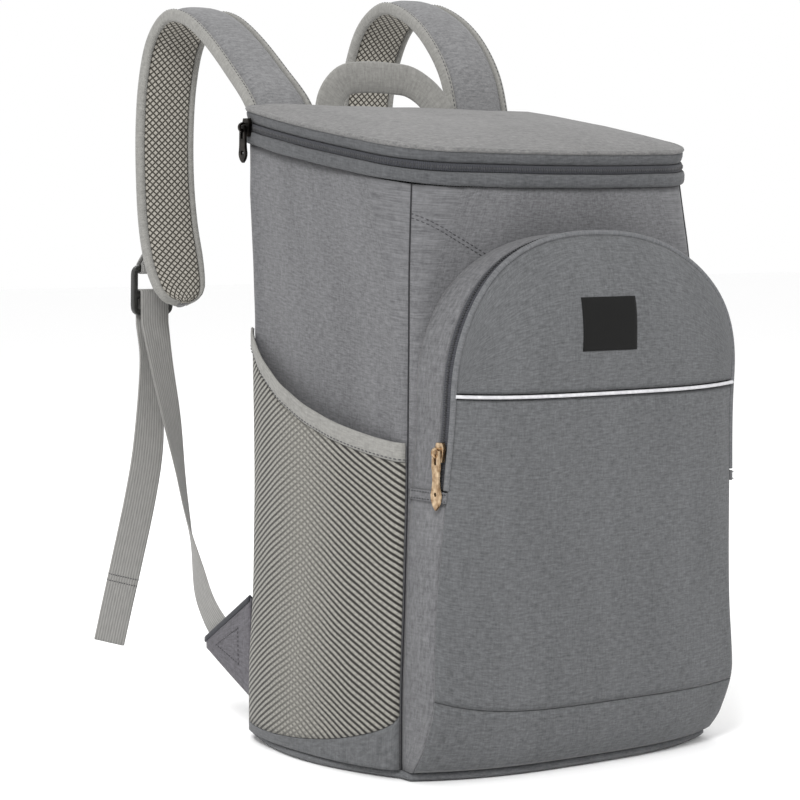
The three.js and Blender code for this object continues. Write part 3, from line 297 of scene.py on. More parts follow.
def cloth_piece(
    name, grid, materials, centre=(0, 0, 220), wrap=False, thick=0.0, bands=None, close=False, level=False
):
    """A mesh of a grid of points in millimetres, with a UV map in metres of its own surface.
    On a level map the second place is the height, whatever the slant of the piece's edges."""
    grid = facing(np.asarray(grid, float), centre, wrap)
    rows, columns = grid.shape[:2]
    mesh = bpy.data.meshes.new(name)
    spans = columns if wrap else columns - 1
    faces = []
    places = []
    for i in range(rows - 1):
        for j in range(spans):
            k = (j + 1) % columns
            faces.append((i * columns + j, i * columns + k, (i + 1) * columns + k, (i + 1) * columns + j))
            places.append(((i, j), (i, j + 1), (i + 1, j + 1), (i + 1, j)))
    mesh.from_pydata((grid.reshape(-1, 3) * 0.001).tolist(), [], faces)
    looped = np.concatenate([grid, grid[:, :1]], axis=1)
    middle = rows // 2
    u = np.concatenate([[0], np.cumsum(np.linalg.norm(np.diff(looped[middle], axis=0), axis=1))])
    v = np.concatenate([[0], np.cumsum(np.linalg.norm(np.diff(looped[:, columns // 2], axis=0), axis=1))])
    layer = mesh.uv_layers.new(name="cloth")
    heights = looped[..., 2] if level else np.broadcast_to(v[:, None], looped.shape[:2])
    corners = np.array([(u[j], heights[i, j]) for place in places for i, j in place]) * 0.001
    layer.data.foreach_set("uv", corners.ravel())
    for material in materials if isinstance(materials, list) else [materials]:
        mesh.materials.append(material)
    if bands:
        places_of_faces = [(i, j) for i in range(rows - 1) for j in range(spans)]
        for index, (i, j) in enumerate(places_of_faces):
            mesh.polygons[index].material_index = bands(i, j)
    if close:
        shell = bmesh.new()
        shell.from_mesh(mesh)
        bmesh.ops.holes_fill(shell, edges=[e for e in shell.edges if e.is_boundary], sides=0)
        bmesh.ops.recalc_face_normals(shell, faces=shell.faces)
        shell.to_mesh(mesh)
        shell.free()
    mesh.shade_smooth()
    piece = linked(name, mesh)
    if thick:
        wall = piece.modifiers.new("thickness", "SOLIDIFY")
        wall.thickness = thick * 0.001
        wall.offset = -1
    return piece


def dressed(piece, *nodes, body="bag"):
    """Rides a finished piece on its body, in place of the solids it stands for."""
    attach(piece, body)
    if nodes:
        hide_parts(*nodes)
    return piece


def band(route, width, profile):
    """Rings of a band's section along a route of (place, turn, wide, thick) rows, as a grid."""
    places = np.array([row[0] for row in route], float)
    rings = []
    for i, (_, turn, wide, thick) in enumerate(route):
        along = places[min(i + 1, len(places) - 1)] - places[max(i - 1, 0)]
        along = along / np.linalg.norm(along)
        across = np.array([1.0, 0, 0]) - along * along[0]
        across = across / np.linalg.norm(across)
        angle = math.radians(turn)
        across = across * math.cos(angle) + np.cross(along, across) * math.sin(angle)
        out = np.cross(across, along)
        half = width * wide / 2
        rings.append([places[i] + across * u * half + out * level * thick for u, level in profile])
    return np.array(rings)


def smooth_route(rows, count):
    """Places and values on a smooth curve through a few rows of numbers."""
    rows = np.array(rows, float)
    gaps = np.maximum(np.linalg.norm(np.diff(rows[:, :3], axis=0), axis=1), 1e-6) ** 0.5
    knots = np.concatenate([[0], np.cumsum(gaps)])
    at = np.linspace(0, knots[-1], count + 1)
    slopes = np.zeros_like(rows)
    slopes[1:-1] = (rows[2:] - rows[:-2]) / (knots[2:] - knots[:-2])[:, None]
    slopes[0] = (rows[1] - rows[0]) / gaps[0]
    slopes[-1] = (rows[-1] - rows[-2]) / gaps[-1]
    i = np.clip(np.searchsorted(knots, at, side="right") - 1, 0, len(gaps) - 1)
    step = gaps[i][:, None]
    t = ((at - knots[i]) / gaps[i])[:, None]
    start = (2 * t**3 - 3 * t**2 + 1) * rows[i] + (t**3 - 2 * t**2 + t) * step * slopes[i]
    end = (3 * t**2 - 2 * t**3) * rows[i + 1] + (t**3 - t**2) * step * slopes[i + 1]
    return start + end


def tube(path, radius, sides=10, squash=1.0):
    """Rings round a path, flattened across by squash."""
    path = np.asarray(path, float)
    tangent = np.gradient(path, axis=0)
    tangent = tangent / np.linalg.norm(tangent, axis=1, keepdims=True)
    start = np.array([0.0, 1.0, 0.0])
    rings = []
    for place, along in zip(path, tangent):
        first = start - along * (start @ along)
        first = first / np.linalg.norm(first)
        second = np.cross(along, first)
        angle = np.linspace(0, 2 * np.pi, sides, endpoint=False)
        rings.append([place + radius * (first * math.cos(a) + second * squash * math.sin(a)) for a in angle])
    return np.array(rings)


# Materials

def linear(hex_colour):
    parts = [int(hex_colour[i : i + 2], 16) / 255 for i in (1, 3, 5)]
    return (*[c / 12.92 if c <= 0.04045 else ((c + 0.055) / 1.055) ** 2.4 for c in parts], 1.0)


def add_node(tree, kind, inputs=None, **settings):
    node = tree.nodes.new(kind)
    for key, value in settings.items():
        setattr(node, key, value)
    for key, value in (inputs or {}).items():
        if isinstance(value, bpy.types.NodeSocket):
            tree.links.new(value, node.inputs[key])
        else:
            node.inputs[key].default_value = value
    return node


def new_material(name, **shader_values):
    material = bpy.data.materials.new(name)
    material.use_nodes = True
    tree = material.node_tree
    shader = tree.nodes["Principled BSDF"]
    for key, value in shader_values.items():
        shader.inputs[key.replace("_", " ")].default_value = value
    return material, tree, shader


def paint(tree, shader, level, dark, light):
    """Colours a surface between two colours. The mix's colour sockets are its 7th and 8th."""
    mix = add_node(tree, "ShaderNodeMix", {0: level, 6: linear(dark), 7: linear(light)}, data_type="RGBA")
    tree.links.new(mix.outputs[2], shader.inputs["Base Color"])


def surface_place(tree, on_uv, scale):
    if on_uv:
        place = add_node(tree, "ShaderNodeUVMap", uv_map="cloth").outputs["UV"]
    else:
        place = add_node(tree, "ShaderNodeTexCoord").outputs["Object"]
    return add_node(tree, "ShaderNodeMapping", {"Vector": place, "Scale": scale}).outputs["Vector"]


def woven(name, dark, light, on_uv=True, yarn=0.0009, slub=4.5, relief=0.3, sheen=0.1):
    """Melange polyester: light and dark yarns mixed, plain woven. Yarns are drawn about 1 mm wide,
    twice as coarse as the real ones, so that they show."""
    material, tree, shader = new_material(name, Roughness=0.92, Sheen_Weight=sheen, Specular_IOR_Level=0.22)
    along = surface_place(tree, on_uv, (1 / slub, 1, 1))
    upright = surface_place(tree, on_uv, (1, 1 / slub, 1))
    yarns = {"Scale": 0.6 / yarn, "Detail": 3.0, "Roughness": 0.75}
    weft = add_node(tree, "ShaderNodeTexNoise", {"Vector": along, **yarns}).outputs["Fac"]
    warp = add_node(tree, "ShaderNodeTexNoise", {"Vector": upright, **yarns}).outputs["Fac"]
    both = add_node(tree, "ShaderNodeMath", {0: warp, 1: 0.6, 2: weft}, operation="MULTIPLY_ADD").outputs[0]
    cloud = {"Vector": upright, "Scale": 26.0, "Detail": 2.0}
    cloud = add_node(tree, "ShaderNodeTexNoise", cloud).outputs["Fac"]
    mixed = {0: cloud, 1: 0.25, 2: both}
    mixed = add_node(tree, "ShaderNodeMath", mixed, operation="MULTIPLY_ADD").outputs[0]
    reach = {"Value": mixed, "From Min": 0.6, "From Max": 1.25}
    paint(tree, shader, add_node(tree, "ShaderNodeMapRange", reach).outputs[0], dark, light)
    bump = add_node(tree, "ShaderNodeBump", {"Height": both, "Strength": relief, "Distance": 0.0004})
    tree.links.new(bump.outputs["Normal"], shader.inputs["Normal"])
    return material


def ribbed(name, dark, light, pitch=0.0021, relief=0.5, sheen=0.1):
    """Polyester webbing and binding tape: fine ribs run along it, painted lighter on their tops and darker
    between them, as painted highlight and shade.
    """
    material, tree, shader = new_material(name, Roughness=0.8, Sheen_Weight=sheen, Specular_IOR_Level=0.25)
    place = surface_place(tree, True, (1, 1, 1))
    rows = {"Vector": place, "Scale": WAVE_LENGTH / pitch, "Distortion": 0.6, "Detail": 1.0, "Detail Scale": 2.0}
    rib = add_node(tree, "ShaderNodeTexWave", rows, bands_direction="X")
    along = surface_place(tree, True, (1, 0.12, 1))
    fibre = add_node(tree, "ShaderNodeTexNoise", {"Vector": along, "Scale": 900.0, "Detail": 2.0})
    # The ribs' brightness follows their height: painted highlight on their tops, painted shade between them.
    mixed = {0: fibre.outputs["Fac"], 1: 1.2, 2: rib.outputs["Fac"]}
    mixed = add_node(tree, "ShaderNodeMath", mixed, operation="MULTIPLY_ADD").outputs[0]
    level = add_node(tree, "ShaderNodeMapRange", {"Value": mixed, "From Min": 0.5, "From Max": 1.7})
    paint(tree, shader, level.outputs[0], dark, light)
    bump = add_node(tree, "ShaderNodeBump", {"Height": mixed, "Strength": relief, "Distance": 0.0005})
    tree.links.new(bump.outputs["Normal"], shader.inputs["Normal"])
    return material


def netting(name, hole_shade, thread, pitch, lean, spans, gap=0.3):
    """Knitted net: rows of threads with dark gaps between them; the gaps' dark is painted shade inside the net's
    openings. One way of the rows shows at one side of a piece and the other way at the other, as the net turns
    past the eye, and both in its middle."""
    material, tree, shader = new_material(name, Roughness=0.85, Sheen_Weight=0.1, Specular_IOR_Level=0.3)
    place = add_node(tree, "ShaderNodeUVMap", uv_map="cloth").outputs["UV"]
    across = add_node(tree, "ShaderNodeSeparateXYZ", {"Vector": place}).outputs["X"]
    masks = []
    for way, (low, high) in zip((lean, -lean), spans):
        turned = {"Vector": place, "Rotation": (0, 0, way)}
        turned = add_node(tree, "ShaderNodeMapping", turned).outputs["Vector"]
        run = {"Vector": turned, "Scale": WAVE_LENGTH / pitch, "Distortion": 1.2}
        run.update({"Detail": 1.0, "Detail Scale": 0.4})
        rows = add_node(tree, "ShaderNodeTexWave", run, bands_direction="X")
        cut = {"Value": rows.outputs["Fac"], "From Min": gap, "From Max": gap * 0.35}
        lines = add_node(tree, "ShaderNodeMapRange", cut).outputs[0]
        side = {"Value": across, "From Min": low, "From Max": high, "To Min": 1.0, "To Max": 0.12}
        fade = add_node(tree, "ShaderNodeMapRange", side).outputs[0]
        masks.append(add_node(tree, "ShaderNodeMath", {0: lines, 1: fade}, operation="MULTIPLY").outputs[0])
    # The gaps' mask: where it is high, painted shade inside the net's openings darkens the threads' colour.
    shaded_holes = add_node(tree, "ShaderNodeMath", {0: masks[0], 1: masks[1]}, operation="MAXIMUM").outputs[0]
    fibre = add_node(tree, "ShaderNodeTexNoise", {"Vector": place, "Scale": 700.0, "Detail": 2.0})
    wear = {"Value": fibre.outputs["Fac"], "From Min": 0.3, "From Max": 0.7, "To Min": 0.72}
    grain = add_node(tree, "ShaderNodeMapRange", wear).outputs[0]
    lit = {0: grain, 1: shaded_holes}
    lit = add_node(tree, "ShaderNodeMath", lit, operation="SUBTRACT", use_clamp=True).outputs[0]
    paint(tree, shader, lit, hole_shade, thread)
    bump = add_node(tree, "ShaderNodeBump", {"Height": lit, "Strength": 0.6, "Distance": 0.0008})
    tree.links.new(bump.outputs["Normal"], shader.inputs["Normal"])
    return material


def hard(name, base, worn, metallic, roughness, grain=180.0, relief=0.1):
    """Metal or moulded plastic, with light wear in soft patches."""
    material, tree, shader = new_material(name, Metallic=metallic)
    place = surface_place(tree, False, (1, 1, 1))
    wear = add_node(tree, "ShaderNodeTexNoise", {"Vector": place, "Scale": grain, "Detail": 4.0})
    patches = {"Value": wear.outputs["Fac"], "From Min": 0.35, "From Max": 0.7}
    paint(tree, shader, add_node(tree, "ShaderNodeMapRange", patches).outputs[0], base, worn)
    dulled = {"Value": wear.outputs["Fac"], "To Min": roughness - 0.08, "To Max": roughness + 0.12}
    tree.links.new(add_node(tree, "ShaderNodeMapRange", dulled).outputs[0], shader.inputs["Roughness"])
    height = wear.outputs["Fac"]
    bump = add_node(tree, "ShaderNodeBump", {"Height": height, "Strength": relief, "Distance": 0.0003})
    tree.links.new(bump.outputs["Normal"], shader.inputs["Normal"])
    return material


MELANGE = woven("melange_polyester_body", "#444446", "#747476")
# A lighter copy of the body's melange for the lid's top: painted light on the upward face.
MELANGE_LID_LIT = woven("melange_polyester_lid_painted_light", "#4e4e4e", "#7f7e7d", on_uv=False)
MELANGE_POCKET = woven("melange_polyester_pocket", "#3d3e3f", "#68696b")
MELANGE_WELT = woven("melange_polyester_welt", "#444547", "#707173")
MELANGE_PAD = woven("melange_polyester_pad", "#535354", "#858586", on_uv=False)
MELANGE_BASE = woven("melange_polyester_base", "#404143", "#6c6d6f", on_uv=False)
WING_CLOTH = woven("polyester_wing", "#3e3c3f", "#6b696e")
WEBBING_CLOTH = ribbed("polyester_webbing", "#706f6d", "#8e8d8a", relief=0.22)
BINDING_FLAT = woven("binding_tape_flat", "#6c6b68", "#91908c", relief=0.2)
# A darker copy of the body's melange for the rim band and the lid's sides: painted shade along the lid's edge.
MELANGE_RIM_SHADED = woven("melange_polyester_rim_painted_shade", "#363739", "#5d5e60")
# Dark cords for the box's upright seams: painted shadow in the seam grooves.
SEAM_SHADOW = woven("painted_seam_shadow", "#19191b", "#2e2e31")
# Zip tape drawn dark: partly the tape's own colour and partly painted shade of the narrow channels the zips lie
# in.
ZIP_TAPE_AND_SHADE = ribbed("zip_tape_polyester_and_painted_shade", "#27282c", "#3b3c41", pitch=0.0014, relief=0.25)
SIDE_SPANS = ((0.15, 0.05), (0.03, 0.13))
SIDE_NET = netting("knitted_net_side", "#262421", "#918f88", 0.0039, math.radians(-62), SIDE_SPANS, gap=0.66)
EVEN = ((5.0, 6.0), (5.0, 6.0))
STRAP_NET = netting("air_mesh_lining", "#3e3b35", "#aeaaa1", 0.0037, math.radians(48), EVEN, gap=0.3)
BACK_NET = netting("air_mesh_back", "#353433", "#706e6b", 0.0037, math.radians(40), EVEN, gap=0.3)
PATCH_CLOTH = ribbed("satin_label", "#040404", "#0a0a09", pitch=0.0009, relief=0.1, sheen=0.0)
REFLECTIVE = hard("reflective_piping_vinyl", "#b4b4b7", "#cacacc", 0.0, 0.4, grain=300.0)
THREAD = hard("polyester_thread_dark", "#2f2f31", "#47474a", 0.0, 0.7)
COIL = hard("zip_coil_nylon", "#1c1c1d", "#343436", 0.0, 0.42)
BRASS = hard("antique_brass", "#8d7256", "#d3bb9b", 1.0, 0.34, grain=260.0, relief=0.25)
BLACK_METAL = hard("black_plated_zinc", "#1f1d1a", "#3c3833", 1.0, 0.36)
NYLON = hard("black_moulded_nylon", "#1b1b19", "#2b2b28", 0.0, 0.42, grain=420.0)


# The main box: one padded shell with grooves at its four upright seams, over a flat base

WALLS = ("front", "right", "back", "left")


def box_ring(section, inset=0.0):
    return np.concatenate([wall_outline(wall, section, inset)[:-1] for wall in WALLS])


def ring_distance(ring, columns):
    """How far round a closed ring each of its points is from the nearest of some columns."""
    steps = np.linalg.norm(np.roll(ring, -1, axis=0) - ring, axis=1)
    at = np.concatenate([[0], np.cumsum(steps)[:-1]])
    whole = steps.sum()
    gaps = np.abs(at[:, None] - at[columns][None])
    return np.minimum(gaps, whole - gaps).min(axis=1)


def box_shell():
    ups = np.linspace(0, 1, 72)
    rings = []
    for up in ups:
        ring = box_ring(body_section(up))
        z = WALL_FOOT + (rim_plane(ring[:, 1]) - SEAM_GAP - WALL_FOOT) * up
        rings.append(np.column_stack([ring, z]))
    grid = np.array(rings)
    wall = grid.shape[1] // 4
    seam = ring_distance(grid[36], [0, wall, 2 * wall, 3 * wall])
    calm = np.minimum(1, np.minimum(ups, 1 - ups) * 12)[:, None]
    soft = 0.9 * ripple(grid, 150, 3) + 0.35 * ripple(grid, 45, 4)
    puff = soft * calm * np.minimum(seam / 12, 1) - 1.3 * np.exp(-((seam / 1.7) ** 2))
    sag = 1.3 * np.exp(-(((seam - 9) / 5) ** 2)) * calm
    slant = crease(grid, (-128, -108, 379), (-66, -108, 347), 2.2)
    puff = puff + sag - 0.7 * slant - 0.8 * crease(grid, (-118, -108, 330), (-92, -108, 342), 7)
    grid = puffed(grid, puff, wrap=True)
    back = lambda i, j: 1 if 2 * wall <= j < 3 * wall else 0
    piece = cloth_piece("body_shell", grid, [MELANGE, BACK_NET], wrap=True, thick=6, bands=back)
    # A thin dark cord along each upright seam groove: painted shadow in the groove.
    for k in range(4):
        line = grid[:, k * wall] + normals_of(grid, True)[:, k * wall] * 0.15
        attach(cloth_piece(f"box_seam_shadow_{k}", tube(line, 0.6, 6), SEAM_SHADOW, wrap=True, close=True), "bag")
    dressed(piece, "front_panel", "side_panel_left", "side_panel_right", "back_panel")
    return piece


def base_outline():
    section = dict(body_section(0.0), bow=SIDE_BOW + 13 + 1.6)
    q = np.sin(np.linspace(-0.5, 0.5, 61) * np.pi)
    x = q * pocket_half(0)
    front = np.column_stack([x, pocket_face(x, np.zeros_like(x))])
    return np.concatenate([front] + [wall_outline(wall, section)[1:-1] for wall in WALLS[1:]])


def base_cushion():
    outline = base_outline()
    profile = [(0.75, 0.0), (0.97, 0.0), (0.99, 0.6), (0.999, 2.0)]
    profile += [(1.0, 3.6), (0.995, 5.2), (0.985, 6.0), (0.8, 6.0)]
    rows = [np.column_stack([outline * scale, np.full(len(outline), z)]) for scale, z in profile]
    piece = cloth_piece("base_cushion", rows, MELANGE_BASE, wrap=True, close=True)
    dressed(piece, "base_panel")


# The rim, the zip and the lid

RIM = (0.35, 9.35)
LID_ZIP = (9.7, 14.7)
LID_LOW = 15.05
LID_TOP = 24.05


def lid_ring(outset, above):
    section = dict(body_section(1.0), radius=LID_CORNER, bow=SIDE_BOW + 3)
    ring = box_ring(section, -outset)
    return np.column_stack([ring, rim_plane(ring[:, 1]) + above])


def lid_rows(profile):
    return np.array([lid_ring(outset, above) for outset, above in profile])


def lid_pieces():
    low, high = RIM
    rim = [(-2, low), (2.2, low), (3.1, low + 1), (3.6, low + 3)]
    rim += [(3.7, low + 6), (3.2, high - 1), (2.2, high), (-2, high)]
    grid = lid_rows(rim)
    grid = puffed(grid, 0.35 * ripple(grid, 60, 11), wrap=True)
    # The rim band is drawn in the darker melange: painted shade along the lid's edge.
    dressed(cloth_piece("rim_band", grid, MELANGE_RIM_SHADED, wrap=True), "body_rim")

    low, high = LID_ZIP
    tape = [(-2, low - 0.3), (1.4, low), (1.9, low + 1.2), (2.1, low + 2.5)]
    tape += [(1.9, high - 1.2), (1.4, high), (-2, high + 0.3)]
    dressed(cloth_piece("lid_zip_tape", lid_rows(tape), ZIP_TAPE_AND_SHADE, wrap=True), "lid_zipper")
    coil = lid_ring(1.9, (low + high) / 2)
    toothed_row("lid_zip_coil", [coil], (0, 0, 1.0), closed=True)

    side = [(-8, LID_LOW), (-1.2, LID_LOW), (0.6, LID_LOW + 0.7), (1.5, LID_LOW + 2.5), (2.2, LID_LOW + 5)]
    side += [(2.3, LID_TOP - 2.4), (1.6, LID_TOP - 1.4)]
    roll = [(2.6, LID_TOP - 1.0), (3.3, LID_TOP + 0.2), (2.7, LID_TOP + 1.5)]
    roll += [(1.2, LID_TOP + 2.1), (-0.2, LID_TOP + 1.6)]
    insets = np.concatenate([[1.2, 2.5, 4.5, 8, 12, 17, 23], np.linspace(30, 94, 17)])
    top = [(-inset, LID_TOP + 1.4 + 8.5 * (1 - math.exp(-inset / 30))) for inset in insets]
    grid = lid_rows(side + roll + top)
    calm = np.concatenate([np.zeros(len(side + roll)), np.minimum(1, insets / 14)])[:, None]
    grid[..., 2] += calm * (0.9 * ripple(grid, 120, 21) + 0.3 * ripple(grid, 40, 22))
    edge = len(side)
    # One cloth in two tones: the lid's sides get painted shade and its top gets painted light.
    cloths = [MELANGE_RIM_SHADED, MELANGE_LID_LIT]
    upper = lambda i, j: int(i >= edge - 1)
    piece = cloth_piece("lid_cushion", grid, cloths, wrap=True, close=True, bands=upper)
    dressed(piece, "lid_panel")


# The front pocket

COLUMNS = np.sin(np.linspace(-0.5, 0.5, 73) * np.pi)


def base_seam(q):
    return 45 + 7 * q**4 - 6 * q**3


def reflective_line(q, offset=0.0):
    return 257 + 2 * q**4 + offset


def pocket_rows(low, high, count):
    """A panel of the pocket's face between two lines, tucked in at its edges."""
    t = np.linspace(0, 1, count + 1)
    z = low(COLUMNS)[None] * (1 - t[:, None]) + high(COLUMNS)[None] * t[:, None]
    x = COLUMNS[None] * pocket_half(z)
    grid = np.stack([x, pocket_face(x, z), z], axis=-1)
    grid = facing(grid, (0, 0, 180))
    tall = (z[-1] - z[0])[None]
    edge = np.minimum(np.minimum(t[:, None], 1 - t[:, None]) * tall, (1 - np.abs(COLUMNS))[None] * 90)
    soft = 1.0 * ripple(grid, 110, 31) + 0.45 * ripple(grid, 38, 32)
    puff = (0.9 + soft) * (1 - np.exp(-edge / 8)) - 0.9 * np.exp(-((edge / 1.6) ** 2))
    folds = [
        ((-119, -140, 277), (-86, -150, 268), 3.0, -2.6),
        ((-112, -140, 285), (-90, -150, 280), 4.0, 1.2),
        ((-124, -136, 222), (-100, -146, 206), 3.5, -2.4),
        ((-112, -136, 232), (-92, -146, 226), 4.5, 1.0),
        ((-124, -136, 268), (-124, -136, 238), 5.0, -1.0),
        ((-95, -150, 322), (-70, -152, 306), 8.0, -1.2),
        ((60, -150, 60), (100, -140, 85), 8.0, -1.0),
        ((-70, -150, 66), (-20, -154, 58), 9.0, -0.9),
    ]
    for start, end, width, depth in folds:
        puff = puff + depth * crease(grid, start, end, width)
    return puffed(grid, puff)


def pocket_edge(inset, foot, marks=()):
    """The pocket's edge from the right foot over the arch to the left foot."""
    rising = np.unique(np.concatenate([np.linspace(foot, POCKET_SPRING, 34), marks]))[:-1]
    right = np.column_stack([pocket_half(rising) - inset, rising])
    q = np.cos(np.linspace(0, np.pi, 73))
    arch = np.column_stack([q * (POCKET_HALF_WIDTH - inset), arch_height(q, inset)])
    return np.concatenate([right, arch, right[::-1] * [-1, 1]])


def pocket_pieces():
    foot = lambda q: np.full_like(q, WALL_FOOT)
    seam = lambda offset: lambda q: base_seam(q) + offset
    top = lambda q: np.maximum(arch_height(q), reflective_line(q, 2.85))
    panels = [
        ("pocket_base_panel", foot, seam(-0.2), 18, MELANGE_POCKET),
        ("pocket_lower_panel", seam(0.2), lambda q: reflective_line(q, -1.85), 60, MELANGE_POCKET),
        ("pocket_upper_panel", lambda q: reflective_line(q, 1.85), top, 34, MELANGE_POCKET),
    ]
    made = {}
    for node, low, high, count, cloth in panels:
        grid = pocket_rows(low, high, count)
        made[node] = cloth_piece(f"{node}_cloth", grid, cloth, centre=(0, 0, 180), thick=2.4)
        dressed(made[node], node)

    line = np.column_stack([COLUMNS * pocket_half(257), np.zeros(73), reflective_line(COLUMNS)])
    line[:, 1] = pocket_face(line[:, 0], line[:, 2]) - 0.2
    cord = cloth_piece("reflective_cord", tube(line, 1.25), REFLECTIVE, wrap=True, close=True)
    dressed(cord, "reflective_piping")

    edge = pocket_edge(0, WALL_FOOT, [ZIP_END - 0.1, ZIP_END + 0.9])
    section = body_section(up_at(-BACK_Y, edge[:, 1]))
    corner = corner_seam(section)
    back_x = np.sign(edge[:, 0]) * np.minimum(np.abs(edge[:, 0]), corner)
    back_y = body_front(back_x, edge[:, 1]) - 0.4
    # Above the zip's end the gusset stops short by the dark band's width, and the tape fills that gap as painted
    # shadow.
    front_y = pocket_edge_y(edge[:, 1]) + GUSSET_FRONT + np.where(edge[:, 1] > ZIP_END, ZIP_TAPE_AND_SHADOW_WIDTH + 0.3, 0)
    t = np.linspace(0, 1, 13)[:, None]
    x = back_x * (1 - t) + edge[:, 0] * t
    y = back_y * (1 - t) + front_y * t
    grid = np.stack([x, y, np.broadcast_to(edge[:, 1], x.shape)], axis=-1)
    grid = facing(grid, (0, -60, 150))
    hold = np.sin(np.pi * t) ** 0.7
    grid = puffed(grid, hold * (0.3 + 0.7 * ripple(grid, 70, 41)) - 0.9 * np.exp(-(((1 - t) / 0.06) ** 2)))
    gusset = cloth_piece("pocket_gusset_cloth", grid, MELANGE, centre=(0, -60, 150), thick=2.4)
    dressed(gusset, "pocket_gusset")

    foot = ZIP_END + 1.35
    edge = pocket_edge(0.5, foot)
    base_y = pocket_edge_y(edge[:, 1]) + GUSSET_FRONT
    across = np.linspace(0, 1, 7)[:, None]
    x = np.broadcast_to(edge[:, 0], (7, len(edge)))
    z = np.broadcast_to(edge[:, 1], (7, len(edge)))
    # The tape is drawn the full width of the dark band; the part beyond the solids' 9 mm is painted shadow.
    grid = facing(np.stack([x, base_y + ZIP_TAPE_AND_SHADOW_WIDTH * across, z], axis=-1), (0, -60, 150))
    grid = puffed(grid, 0.3 + 0.4 * np.sin(np.pi * across))
    dressed(cloth_piece("pocket_zip_tape_and_shadow", grid, ZIP_TAPE_AND_SHADE, centre=(0, -60, 150), thick=1.6), "pocket_zipper")
    mid = pocket_edge(-0.6, foot)
    coil = np.column_stack([mid[:, 0], base_y + 6.5, mid[:, 1]])
    toothed_row("pocket_zip_coil", [coil], (0, 1.0, 0))

    edge = pocket_edge(-0.5, foot)
    welt = np.column_stack([edge[:, 0], pocket_edge_y(edge[:, 1]) + GUSSET_FRONT - 1.4, edge[:, 1]])
    dressed(cloth_piece("pocket_welt", tube(welt, 2.0), MELANGE_WELT, wrap=True, close=True), "pocket_piping")

    x, z = np.meshgrid(np.linspace(*PATCH_X, 25), np.linspace(*PATCH_Z, 19))
    beside = np.minimum(x - PATCH_X[0], PATCH_X[1] - x)
    rim = np.minimum(beside, np.minimum(z - PATCH_Z[0], PATCH_Z[1] - z))
    lift = 1.3 - 0.9 * np.exp(-rim)
    ahead = np.stack([x, np.full_like(x, -150.0), z], axis=-1).reshape(-1, 3)
    under = laid_on(ahead, made["pocket_upper_panel"], (0, 1, 0), 0)
    grid = under.reshape(*x.shape, 3) - lift[..., None] * [0, 1, 0]
    patch = cloth_piece("patch_cloth", grid, PATCH_CLOTH, thick=1.2)
    dressed(patch, "patch")

    for side, sign in SIDES.items():
        z = np.linspace(189, 196, 7)
        half = sign * pocket_half(z)
        corner = corner_seam(body_section(up_at(-BACK_Y, z)))
        back = sign * np.minimum(np.abs(half), corner)
        t = np.linspace(0, 1, 9)
        x = back[:, None] * (1 - t) + half[:, None] * t + sign * 1.9
        y = (body_front(back, z) - 0.7)[:, None] * (1 - t) + pocket_edge_y(z)[:, None] * t
        grid = np.stack([x, y, np.broadcast_to(z[:, None], x.shape)], axis=-1)
        tab = cloth_piece(f"zip_tab_{side}", grid, MELANGE, thick=1.6)
        dressed(tab, f"zipper_tab_{side}")
        for row in (1, 5):
            sewn(f"zip_tab_seam_{side}_{row}", [grid[row] + [sign * 0.3, 0, 0]], pitch=3.0)


# Stitches and zip teeth: one small body repeated along lines

def row_tree():
    tree = bpy.data.node_groups.new("bodies_along_a_row", "GeometryNodeTree")
    sockets = (("Geometry", "Geometry"), ("Pitch", "Float"), ("Size", "Vector"), ("Material", "Material"))
    for name, kind in sockets:
        tree.interface.new_socket(name, in_out="INPUT", socket_type=f"NodeSocket{kind}")
    tree.interface.new_socket("Geometry", in_out="OUTPUT", socket_type="NodeSocketGeometry")
    given = add_node(tree, "NodeGroupInput").outputs
    curve = add_node(tree, "GeometryNodeMeshToCurve", {"Mesh": given["Geometry"]}).outputs["Curve"]
    points = {"Curve": curve, "Length": given["Pitch"]}
    points = add_node(tree, "GeometryNodeCurveToPoints", points, mode="LENGTH")
    along = {"Vector": points.outputs["Tangent"]}
    along = add_node(tree, "FunctionNodeAlignRotationToVector", along, axis="X").outputs["Rotation"]
    wide = add_node(tree, "GeometryNodeInputNamedAttribute", {"Name": "across"}, data_type="FLOAT_VECTOR")
    turned = {"Rotation": along, "Vector": wide.outputs["Attribute"]}
    turned = add_node(tree, "FunctionNodeAlignRotationToVector", turned, axis="Z", pivot_axis="X")
    bead = add_node(tree, "GeometryNodeMeshUVSphere", {"Segments": 6, "Rings": 4, "Radius": 0.5})
    each = {
        "Points": points.outputs["Points"],
        "Instance": bead.outputs["Mesh"],
        "Rotation": turned.outputs["Rotation"],
        "Scale": given["Size"],
    }
    placed = add_node(tree, "GeometryNodeInstanceOnPoints", each).outputs["Instances"]
    real = add_node(tree, "GeometryNodeRealizeInstances", {"Geometry": placed}).outputs["Geometry"]
    painted = {"Geometry": real, "Material": given["Material"]}
    painted = add_node(tree, "GeometryNodeSetMaterial", painted).outputs["Geometry"]
    add_node(tree, "NodeGroupOutput", {"Geometry": painted})
    return tree


ROW_TREE = row_tree()


